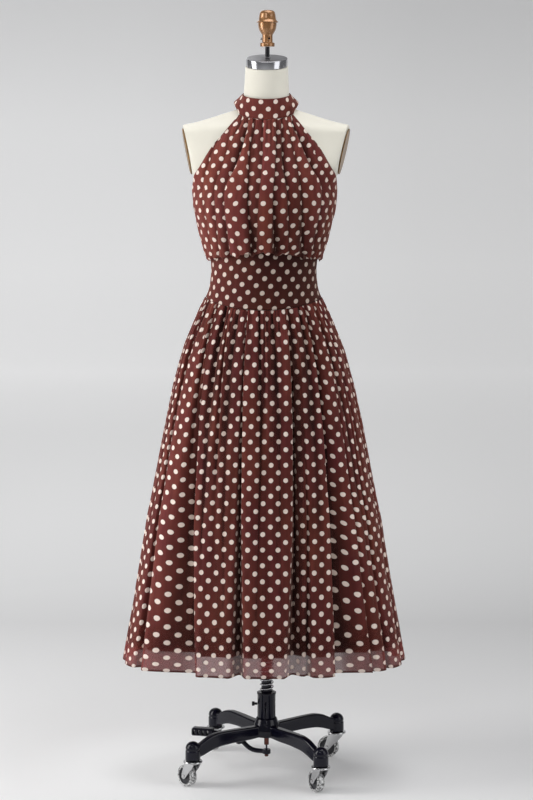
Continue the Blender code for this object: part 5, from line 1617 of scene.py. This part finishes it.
class DRESS_OT_form(bpy.types.Operator):
    """Torso of the dress form under its cover, and its arm plates"""

    bl_idname = "dress.form"
    bl_label = "Dress form"

    def execute(self, context):
        names = ("half_width", "front", "back", "power")
        levels = [np.linspace(low, high, 5) for low, high in zip(TORSO["z"], TORSO["z"][1:])]
        z = np.unique(np.concatenate(levels))
        table = {name: smooth(TORSO["z"], TORSO[name], z) for name in names}
        rings = []
        angle = np.arange(TORSO_COLUMNS) * 2 * np.pi / TORSO_COLUMNS
        sine, cosine = np.sin(angle), np.cos(angle)
        (top_x, top_z), (bottom_x, bottom_z) = ARM_PLATE_TOP, ARM_PLATE_BOTTOM
        for k, height in enumerate(z):
            depth = np.where(cosine > 0, table["front"][k], table["back"][k])
            power = 2 / table["power"][k]
            x = table["half_width"][k] * np.sign(sine) * np.abs(sine) ** power
            y = -depth * np.sign(cosine) * np.abs(cosine) ** power
            if height >= bottom_z - 0.03:
                limit = bottom_x + (top_x - bottom_x) * (height - bottom_z) / (top_z - bottom_z)
                limit -= 0.006 * max(0.0, bottom_z + 0.008 - height) / 0.038
                left = -limit - (y - ARM_PLATE_Y) * math.tan(ARM_PLATE_TURNS[-1])
                right = limit + (y - ARM_PLATE_Y) * math.tan(ARM_PLATE_TURNS[1])
                x = np.clip(x, left, right)
            lean = np.clip((height - NECK_TILT_START) / (NECK_TOP - NECK_TILT_START), 0, 1)
            level = height + y * math.tan(NECK_TILT) * lean
            rings.append(np.stack([x + sway(level), y, level], axis=-1))
        shape = lofted(rings)
        torso = put(shape, "form_torso", made("form_jersey", jersey), smooth_angle=50)
        stands_for(torso, "dressed_form", "form_cover", "torso")
        height = math.hypot(top_x - bottom_x, top_z - bottom_z) - 4 * MM
        for name, side in (("arm_plate_left", -1), ("arm_plate_right", 1)):
            top = side * top_x + sway(top_z)
            bottom = side * bottom_x + sway(bottom_z)
            lean = math.atan2(side * (top - bottom), top_z - bottom_z)
            thick = ARM_PLATE_THICKNESS
            # A shallow dome, half a unit in radius, which is then drawn out to its size.
            profile = [(0, thick * 0.62), (0.47, thick * 0.55), (0.5, thick * 0.1)]
            profile += [(0.5, -thick / 2), (0, -thick / 2)]
            shape = spun(rounded(profile, 0.01), 64)
            aside = Matrix.Rotation(-side * ARM_PLATE_TURNS[side], 4, "Z")
            turn = aside @ Matrix.Rotation(side * (QUARTER_TURN + lean), 4, "Y")
            if side > 0:
                turn = turn @ Matrix.Rotation(math.pi, 4, "X")
            middle = Vector(((top + bottom) / 2, ARM_PLATE_Y, (top_z + bottom_z) / 2))
            out = aside @ Vector((side * math.cos(lean), 0, -math.sin(lean)))
            middle += out * (0.45 * MM + thick / 2)
            shrink = Matrix.Diagonal((height, ARM_PLATE_DEPTH, 1, 1))
            place = Matrix.Translation(middle) @ turn @ shrink
            bmesh.ops.transform(shape, matrix=place, verts=shape.verts)
            bmesh.ops.recalc_face_normals(shape, faces=shape.faces)
            plate = put(shape, f"{name}_disc", made("gilt_paint", gilt))
            stands_for(plate, "dressed_form", "antique_gold", name)
        return {"FINISHED"}


class DRESS_OT_neck_fittings(bpy.types.Operator):
    """Chrome neck cap, rod and copper finial"""

    bl_idname = "dress.neck_fittings"
    bl_label = "Cap and finial"

    def execute(self, context):
        plated, dark = made("neck_chrome", chrome, (0.50, 0.50, 0.525)), black_steel()
        shape = spun(rounded(bar(CAP_RADIUS, CAP_THICKNESS, 0), 1.6 * MM, 4), 96)
        for face in shape.faces:
            face.material_index = int(face.normal.z > 0.9)
        place = at((sway(NECK_TOP), 0, CAP_Z), NECK_TILT, "X")
        bmesh.ops.transform(shape, matrix=place, verts=shape.verts)
        cap = put(shape, "cap", [plated, made("turned_steel", turned)])
        stands_for(cap, "dressed_form", "chrome_plate", "neck_cap")
        cap_top = CAP_Z + CAP_THICKNESS / math.cos(NECK_TILT)
        foot = cap_top + ROD_RADIUS * math.tan(NECK_TILT) + 0.3 * MM
        middle = at((FINIAL_X, 0, 0))
        rod = put(spun(bar(ROD_RADIUS, ROD_TOP, foot), 24, middle), "rod", dark)
        stands_for(rod, "dressed_form", "black_steel", "neck_rod")
        finial = spun(FINIAL_PROFILE, 72, middle)
        knob = put(finial, "finial_knob", [made("lacquered_copper", copper), dark])
        # A blind hole in the stem.
        place = at((FINIAL_X, 0, 0), math.radians(20))
        place = place @ at((0, -0.012, FINIAL_HOLE_Z), QUARTER_TURN, "X")
        cut(knob, spun(bar(0.0024, 0.004, -0.004), 24, place), "bore_cutter", dark)
        stands_for(knob, "dressed_form", "copper_lacquer", "finial")
        place = at((FINIAL_X - 0.0120 - 0.3 * MM, 0, FINIAL_SCREW_Z), -QUARTER_TURN, "Y")
        shape = spun(rounded(bar(0.0027, 0.0036, 0), 0.6 * MM), 24, place)
        screw = put(shape, "grub_screw", plated)
        stands_for(screw, "dressed_form", "chrome_plate", "finial_screw")
        return {"FINISHED"}


class DRESS_OT_column(bpy.types.Operator):
    """Pole, collar, column, set screw and spring"""

    bl_idname = "dress.column"
    bl_label = "Pole and column"

    def execute(self, context):
        black, dark = black_enamel(), black_steel()
        shape = spun(rounded(bar(POLE_RADIUS, POLE_TOP, POLE_BOTTOM), MM), 48)
        pole = put(shape, "pole_tube", black)
        stands_for(pole, "dressed_form", "black_enamel", "pole")
        collar = bar(COLLAR_RADIUS, POLE_TOP, COLLAR_BOTTOM, POLE_RADIUS + 0.3 * MM)
        ring = put(bevelled(spun(collar, 48), 0.8 * MM), "collar_ring", black)
        stands_for(ring, "dressed_form", "black_enamel", "pole_collar")
        tube = [
            (0.0126, COLUMN_TOP), (0.0222, COLUMN_TOP), (0.0222, 0.1868), (0.0210, 0.1850),
            (0.0210, 0.0923), (0.0126, 0.0923),
        ]
        column = put(bevelled(spun(tube, 64), 0.5 * MM), "column_tube", [black, dark])
        place = Matrix.Rotation(math.radians(-6), 4, "Z")
        place = place @ at((0, -0.021, COLUMN_HOLE_Z), QUARTER_TURN, "X")
        cut(column, spun(bar(0.0021, 0.003, -0.003), 24, place), "hole_cutter", dark)
        stands_for(column, "stand", "black_enamel", "column")
        head = [
            (0, 0.0125), (0.0050, 0.0125), (0.0050, 0.0065), (0.0028, 0.0060), (0.0028, 0), (0, 0),
        ]
        place = at((-0.0213, 0, SET_SCREW_Z), -QUARTER_TURN, "Y")
        screw = put(spun(rounded(head, 0.7 * MM), 32, place), "set_screw", dark)
        stands_for(screw, "stand", "black_steel", "column_set_screw")
        start = COLUMN_TOP + 0.3 * MM + SPRING_WIRE
        points = []
        for i in range(SPRING_TURNS * SPRING_STEPS + 1):
            turn = 2 * math.pi * i / SPRING_STEPS
            x, y = SPRING_RADIUS * math.cos(turn), SPRING_RADIUS * math.sin(turn)
            points.append((x, y, start + SPRING_PITCH * i / SPRING_STEPS))
        bright = made("spring_steel", chrome, (0.62, 0.62, 0.64))
        coil = put(tube_along(points, SPRING_WIRE, "coil"), "coil_spring", bright)
        stands_for(coil, "stand", "black_steel", "spring")
        return {"FINISHED"}


def leg_rings(turn):
    """Rings of one leg: round-shouldered sections from the hub out to the socket."""
    out = np.linspace(LEG[0, 0], LEG[-1, 0], LEG_RINGS)
    z, height, width = (smooth(LEG[:, 0], LEG[:, k], out) for k in (1, 2, 3))
    angle = np.arange(LEG_SIDES) * 2 * np.pi / LEG_SIDES + np.pi / 4
    # Rounded squares, a little narrower above than below.
    wide = np.sign(np.cos(angle)) * np.abs(np.cos(angle)) ** LEG_ROUNDNESS
    high = np.sign(np.sin(angle)) * np.abs(np.sin(angle)) ** LEG_ROUNDNESS
    rings = []
    for k, reach in enumerate(out):
        across, up = wide * width[k] / 2, high * height[k] / 2
        across = across * np.where(up > 0, LEG_TOP_WIDTH, 1.0)
        x = reach * math.cos(turn) - across * math.sin(turn)
        y = reach * math.sin(turn) + across * math.cos(turn)
        rings.append(np.stack([x, y, up + z[k]], axis=-1))
    return rings


class DRESS_OT_base(bpy.types.Operator):
    """Cast base: hub, four legs with domed sockets, and the pedal's bearing"""

    bl_idname = "dress.base"
    bl_label = "Cast base"

    def execute(self, context):
        shape = bmesh.new()
        hub = [
            (0.0215, 0.1315), (0.0238, 0.1306), (0.0262, 0.1235), (0.0300, 0.1150),
            (0.0326, 0.1040), (0.0322, 0.0930), (0.0306, 0.0890), (0.0215, 0.0890),
        ]
        spun(hub, 64, into=shape)
        spun(bar(0.0240, 0.0920, 0.0885), 48, into=shape)
        dome = [
            (0.0, 0.1082), (0.0040, 0.1077), (0.0085, 0.1060), (0.0125, 0.1030), (0.0152, 0.0990),
            (0.0167, 0.0945), (0.0168, 0.0915), (0.0158, 0.0900), (0.0158, 0.0885),
            (0.0170, 0.0868), (0.0171, 0.0672), (0.0166, 0.0660), (0.0, 0.0660),
        ]
        cutters = bmesh.new()
        for quarter in range(4):
            turn = LEG_TURN + quarter * QUARTER_TURN
            lofted(leg_rings(turn), into=shape)
            place = at((LEG_REACH * math.cos(turn), LEG_REACH * math.sin(turn), 0))
            spun(dome, 48, place, into=shape)
            spun(bar(0.0058, 0.094, 0.055), 32, place, into=cutters)
        ear = [
            (0.0270, 0.1040), (0.0520, 0.0960), (0.0700, 0.0790), (0.0722, 0.0710),
            (0.0700, 0.0655), (0.0640, 0.0640), (0.0590, 0.0655), (0.0270, 0.0900),
        ]
        around = Matrix.Rotation(math.pi + PEDAL_HEADING, 4, "Z")
        for side in (-1, 1):
            prism(ear, side * 6.2 * MM, side * 3 * MM, around, shape)
        lay = at(PIVOT, PEDAL_HEADING) @ Matrix.Rotation(QUARTER_TURN, 4, "X")
        spun(bar(0.0022, 0.0102, -0.0102), 24, lay, shape)
        spun(bar(0.0024, 0.0905, 0.042), 24, into=shape)
        casting = put(shape, "cast_base", black_enamel(), smooth_angle=0)
        cast(casting, settings("stand").casting_fillet)
        cut(casting, cutters, "stem_bores", black_enamel())
        casting.data.shade_smooth()
        stands_for(casting, "stand", "black_enamel", "base_casting")
        return {"FINISHED"}


class DRESS_OT_brake_screw(bpy.types.Operator):
    """Plated sleeve and nut of the screw between the hub and the pedal's ring"""

    bl_idname = "dress.brake_screw"
    bl_label = "Brake screw"

    def execute(self, context):
        sleeve = [
            (0.0028, 0.0883), (0.0056, 0.0883), (0.0056, 0.0668), (0.0047, 0.0660),
            (0.0028, 0.0660),
        ]
        shape = bevelled(spun(sleeve, 40), 0.4 * MM)
        spun(bar(0.0044, 0.0425, 0.0385, 0.0026), 6, into=shape)
        plating = made("brown_plating", chrome, (0.105, 0.042, 0.034))
        screw = put(shape, "brake_sleeve", plating)
        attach(screw, "stand")
        return {"FINISHED"}


class DRESS_OT_pedal(bpy.types.Operator):
    """Foot pedal on its curved lever"""

    bl_idname = "dress.pedal"
    bl_label = "Pedal"

    def execute(self, context):
        lever = tube_along(PEDAL_ROUTE, PEDAL_LEVER_RADIUS, "lever")
        pad = at(PEDAL_PAD_CENTRE, PEDAL_HEADING)
        block(PEDAL_PAD, pad, 4.5 * MM, lever)
        hub = at((0, 0, PEDAL_RING_Z))
        spun(bar(0.0096, 0.0050, -0.0050, 0.0040), 40, hub, lever)
        pedal = put(lever, "foot_pedal", black_enamel(), smooth_angle=0)
        cast(pedal, PEDAL_DETAIL)
        cutters = bmesh.new()
        spun(bar(0.0050, 0.02, -0.02), 32, hub, cutters)
        lay = at(PIVOT, PEDAL_HEADING) @ Matrix.Rotation(QUARTER_TURN, 4, "X")
        spun(bar(0.0026, 0.02, -0.02), 24, lay, cutters)
        for k in range(SLOTS):
            slot = pad @ Matrix.Translation((k * SLOT_PITCH + FIRST_SLOT, 0, 0))
            block((0.0062, 0.05, 0.0115), slot, 2.4 * MM, cutters)
        cut(pedal, cutters, "pedal_slots", black_enamel())
        pedal.data.shade_smooth()
        stands_for(pedal, "pedal", "black_enamel", "pedal_lever")
        return {"FINISHED"}


class DRESS_OT_casters(bpy.types.Operator):
    """Four swivel casters: plated forks and wheels"""

    bl_idname = "dress.casters"
    bl_label = "Casters"

    def execute(self, context):
        for name, (quarter, heading) in CASTERS.items():
            around = LEG_TURN + quarter * QUARTER_TURN
            x, y = LEG_REACH * math.cos(around), LEG_REACH * math.sin(around)
            place = at((x, y, 0), math.radians(heading))
            self.fork(name, place)
            self.wheel(name, place)
        return {"FINISHED"}

    def fork(self, name, place):
        plate = [
            (0, 0.0648), (0.0160, 0.0648), (0.0215, 0.0636), (0.0222, 0.0602), (0.0190, 0.0592),
            (0, 0.0592),
        ]
        shape = spun(rounded(plate, 0.8 * MM), 48)
        stem = [
            (0, 0.0932), (0.0052, 0.0928), (0.0052, 0.0655), (0.0078, 0.0652), (0.0078, 0.0635),
            (0, 0.0635),
        ]
        spun(rounded(stem, 0.5 * MM), 32, into=shape)
        arm = (
            (-0.0145, 0.0625), (-0.0138, 0.0560), (-0.0085, 0.0470), (0.0030, 0.0345),
            (0.0128, 0.0232), (0.0165, 0.0195), (0.0205, 0.0183), (0.0245, 0.0195),
            (0.0268, 0.0232), (0.0262, 0.0285), (0.0222, 0.0400), (0.0180, 0.0520),
            (0.0172, 0.0625),
        )
        inside = WHEEL_WIDTH / 2 + 1.1 * MM
        axle_end = [(0, 0.0032), (0.0038, 0.0030), (0.0046, 0.0008), (0, 0.0008)]
        for side in (-1, 1):
            prism(arm, side * inside, side * 2 * MM, None, shape, 0.7 * MM)
            centre = (CASTER_TRAIL, side * (inside + 1.0 * MM), WHEEL_RADIUS)
            lay = at(centre, -side * QUARTER_TURN, "X")
            spun(rounded(axle_end, 0.5 * MM), 24, lay, shape)
        pin = at((CASTER_TRAIL, 0, WHEEL_RADIUS), QUARTER_TURN, "X")
        spun(bar(0.0030, 0.011, -0.011), 24, pin, shape)
        bmesh.ops.transform(shape, matrix=place, verts=shape.verts)
        plated = made("caster_chrome", chrome, (0.60, 0.60, 0.61), 0.2)
        fork = put(shape, f"fork_{name}", plated, smooth_angle=35)
        stands_for(fork, f"caster_{name}", "chrome_plate", f"caster_fork_{name}")

    def wheel(self, name, place):
        half = WHEEL_WIDTH / 2
        r = WHEEL_RADIUS
        tyre = [
            (r - 0.0062, half - 0.0004), (r - 0.0035, half), (r - 0.0012, half - 0.0008),
            (r, half - 0.0035), (r, -half + 0.0035), (r - 0.0012, -half + 0.0008),
            (r - 0.0035, -half), (r - 0.0062, -half + 0.0004),
        ]
        shape = spun(tyre, 64)
        core = [
            (0.0034, half - 0.0006), (0.0072, half - 0.0006), (0.0082, half - 0.0026),
            (0.0160, half - 0.0030), (0.0172, half - 0.0010), (r - 0.0060, half - 0.0006),
            (r - 0.0060, -half + 0.0006), (0.0172, -half + 0.0010), (0.0160, -half + 0.0030),
            (0.0082, -half + 0.0026), (0.0072, -half + 0.0006), (0.0034, -half + 0.0006),
        ]
        tyre_faces = len(shape.faces)
        spun(core, 64, into=shape)
        shape.faces.ensure_lookup_table()
        for face in shape.faces[tyre_faces:]:
            face.material_index = 1
        to_axle = at((CASTER_TRAIL, 0, WHEEL_RADIUS), QUARTER_TURN, "X")
        bmesh.ops.transform(shape, matrix=place @ to_axle, verts=shape.verts)
        finishes = [made("clear_tyre", tread), made("wheel_core", wheel_core)]
        wheel = put(shape, f"roller_{name}", finishes, smooth_angle=35)
        stands_for(wheel, f"wheel_{name}", "wheel_tread", f"caster_wheel_{name}")


class DRESS_OT_closures(bpy.types.Operator):
    """Covered neck buttons with their loops, the zip's slider and its pull tab"""

    bl_idname = "dress.closures"
    bl_label = "Closures"

    def execute(self, context):
        buttons = ("neck_button_1", "neck_button_2", "button_loop_1", "button_loop_2")
        finishes = (
            (made("covered_cloth", covered_cloth), buttons),
            (black_steel(), ("zip_slider", "zip_pull_tab")),
            (black_enamel(), ("form_bottom_plate",)),
        )
        for material, names in finishes:
            for name in names:
                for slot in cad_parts[name].material_slots:
                    slot.material = material
        return {"FINISHED"}


class DRESS_OT_stage(bpy.types.Operator):
    """Seamless backdrop, soft lights and the camera"""

    bl_idname = "dress.stage"
    bl_label = "Studio"

    def execute(self, context):
        stage = settings("stage")
        finish = Finish("backdrop_paper", stage.floor_colour, 0.9, Specular_IOR_Level=0.15)
        ground = finish.ground
        place = finish.places()
        axes = finish.node("SeparateXYZ", {"Vector": place}).outputs
        pale, dull = tint(ground, 1.015), tint(ground, 0.985)
        paper = finish.mixed(finish.noise(place, 1.2, 3.0), dull, pale)
        # Painted shade: the paper is darker towards the right.
        aside = finish.ranged(axes["X"], -0.9, 1.1, 0.0, 1.0)
        finish.colour(finish.mixed(aside, paper, tint(ground, 0.83)))
        finish.bump(finish.noise(place, 300.0), 0.0002, 0.2)
        # Painted light: the far floor and the wall glow, more on the left and lower down, and two
        # soft glowing patches on the floor, under the skirt and to its left, lift its shadow.
        near = finish.math("MULTIPLY_ADD", axes["Y"], -1 / GLOW_REACH, GLOW_START / GLOW_REACH)
        near = finish.math("EXPONENT", near)
        far = finish.math("MAXIMUM", finish.math("SUBTRACT", 1.0, near), 0.0)
        painted_glow = finish.math("MULTIPLY", far, finish.ranged(axes["X"], -1.8, 1.8, 0.435, 0.375))
        painted_glow = finish.math("MULTIPLY", painted_glow, finish.ranged(axes["Z"], 0.6, 2.4, 1.0, 0.58))
        under = finish.ranged(finish.vector("LENGTH", place), 0.0, 0.8, 0.13, 0.0, "SMOOTHSTEP")
        beside = finish.vector("DISTANCE", place, (-0.22, 0.09, 0.0))
        beside = finish.ranged(beside, 0.0, 0.40, 0.16, 0.0, "SMOOTHSTEP")
        painted_glow = finish.math("ADD", finish.math("ADD", painted_glow, under), beside)
        finish.links.new(painted_glow, finish.shader.inputs["Emission Strength"])
        finish.shader.inputs["Emission Color"].default_value = (1.0, 1.0, 1.0, 1)
        put(self.sweep(), "backdrop", finish.material, smooth_angle=0)
        world = bpy.data.worlds.new("studio")
        world.use_nodes = True
        sky = world.node_tree.nodes["Background"].inputs
        sky["Color"].default_value = (0.97, 0.98, 1.0, 1)
        sky["Strength"].default_value = 0.2
        bpy.context.scene.world = world
        # Tall soft boxes on both sides, two high ones, a narrow one in front and one behind:
        # place, target, size, share of the power and colour.
        lights = {
            "left_box": ((-2.5, -0.5, 1.5), (0, 0, 1.2), (1.15, 2.7), 1.08, (1.0, 0.99, 0.975)),
            "right_box": ((2.3, -1.3, 1.5), (0, 0, 1.2), (1.5, 2.7), 0.42, (0.98, 0.99, 1.0)),
            "front_box": ((-1.2, -3.4, 3.3), (0, 0, 1.1), (1.6, 1.2), 0.32, (1.0, 1.0, 1.0)),
            "top_box": ((0.5, -0.3, 3.9), (0.1, 0.0, 0), (2.4, 2.4), 1.1, (1.0, 1.0, 1.0)),
            "strip_box": ((0.1, -5.1, 2.4), (0, 0, 0.5), (0.12, 1.2), 0.09, (1.0, 1.0, 1.0)),
            "back_box": ((-1.2, 3.6, 3.4), (0, 0, 1.0), (2.2, 1.6), 0.30, (1.0, 1.0, 1.0)),
        }
        for name, (place, target, size, share, colour) in lights.items():
            self.light(name, place, target, size, stage.key_power * share, colour)
        camera = bpy.data.objects.new("camera", bpy.data.cameras.new("camera"))
        bpy.context.scene.collection.objects.link(camera)
        camera.data.sensor_fit = "VERTICAL"
        camera.data.sensor_height = SENSOR_HEIGHT
        camera.data.lens = LENS
        camera.location = CAMERA_PLACE
        camera.rotation_euler = (CAMERA_TILT, 0, 0)
        bpy.context.scene.camera = camera
        bpy.context.scene.view_settings.view_transform = "Standard"
        return {"FINISHED"}

    def sweep(self):
        """The floor, which curves up into the wall."""
        shape = bmesh.new()
        line = [(-FLOOR_REACH, 0.0), (FLOOR_END, 0.0)]
        for step in range(1, 17):
            turn = step / 16 * QUARTER_TURN
            y = FLOOR_END + SWEEP_RADIUS * math.sin(turn)
            line.append((y, SWEEP_RADIUS - SWEEP_RADIUS * math.cos(turn)))
        line.append((FLOOR_END + SWEEP_RADIUS, WALL_TOP))
        verts = [shape.verts.new((-FLOOR_REACH, y, z)) for y, z in line]
        edges = [shape.edges.new(pair) for pair in zip(verts, verts[1:])]
        grown = bmesh.ops.extrude_edge_only(shape, edges=edges)["geom"]
        moved = [item for item in grown if isinstance(item, bmesh.types.BMVert)]
        bmesh.ops.translate(shape, vec=(2 * FLOOR_REACH, 0, 0), verts=moved)
        for face in shape.faces:
            face.normal_update()
            if face.normal.dot(Vector((0, -1, 1))) < 0:
                face.normal_flip()
        return shape

    def light(self, name, place, target, size, power, colour):
        data = bpy.data.lights.new(name, "AREA")
        data.shape = "RECTANGLE"
        data.size, data.size_y = size
        data.energy = power
        data.color = colour
        obj = bpy.data.objects.new(name, data)
        bpy.context.scene.collection.objects.link(obj)
        obj.location = place
        obj.rotation_euler = (Vector(target) - Vector(place)).to_track_quat("-Z", "Y").to_euler()


class DRESS_PT_panel(bpy.types.Panel):
    bl_label = "Halter dress"
    bl_idname = "DRESS_PT_panel"
    bl_space_type = "VIEW_3D"
    bl_region_type = "UI"
    bl_category = "Dress"

    def draw(self, context):
        for group in GROUPS:
            for name in group.__annotations__:
                self.layout.prop(getattr(context.scene, GROUPS[group]), name)
        for operator in OPERATORS:
            self.layout.operator(operator.bl_idname)


GROUPS = {
    DressSettings: "dress",
    FormSettings: "form",
    StandSettings: "stand",
    StageSettings: "stage",
}
OPERATORS = (
    DRESS_OT_stage,
    DRESS_OT_lining,
    DRESS_OT_skirt,
    DRESS_OT_midriff,
    DRESS_OT_bodice,
    DRESS_OT_neckband,
    DRESS_OT_closures,
    DRESS_OT_form,
    DRESS_OT_neck_fittings,
    DRESS_OT_column,
    DRESS_OT_base,
    DRESS_OT_brake_screw,
    DRESS_OT_pedal,
    DRESS_OT_casters,
)


def register():
    for group, name in GROUPS.items():
        bpy.utils.register_class(group)
        setattr(bpy.types.Scene, name, bpy.props.PointerProperty(type=group))
    for item in (*OPERATORS, DRESS_PT_panel):
        bpy.utils.register_class(item)


def unregister():
    for item in (DRESS_PT_panel, *reversed(OPERATORS)):
        bpy.utils.unregister_class(item)
    for group, name in GROUPS.items():
        delattr(bpy.types.Scene, name)
        bpy.utils.unregister_class(group)


def main():
    register()
    for operator in OPERATORS:
        getattr(bpy.ops.dress, operator.bl_idname.split(".")[1])()


if __name__ == "__main__":
    main()
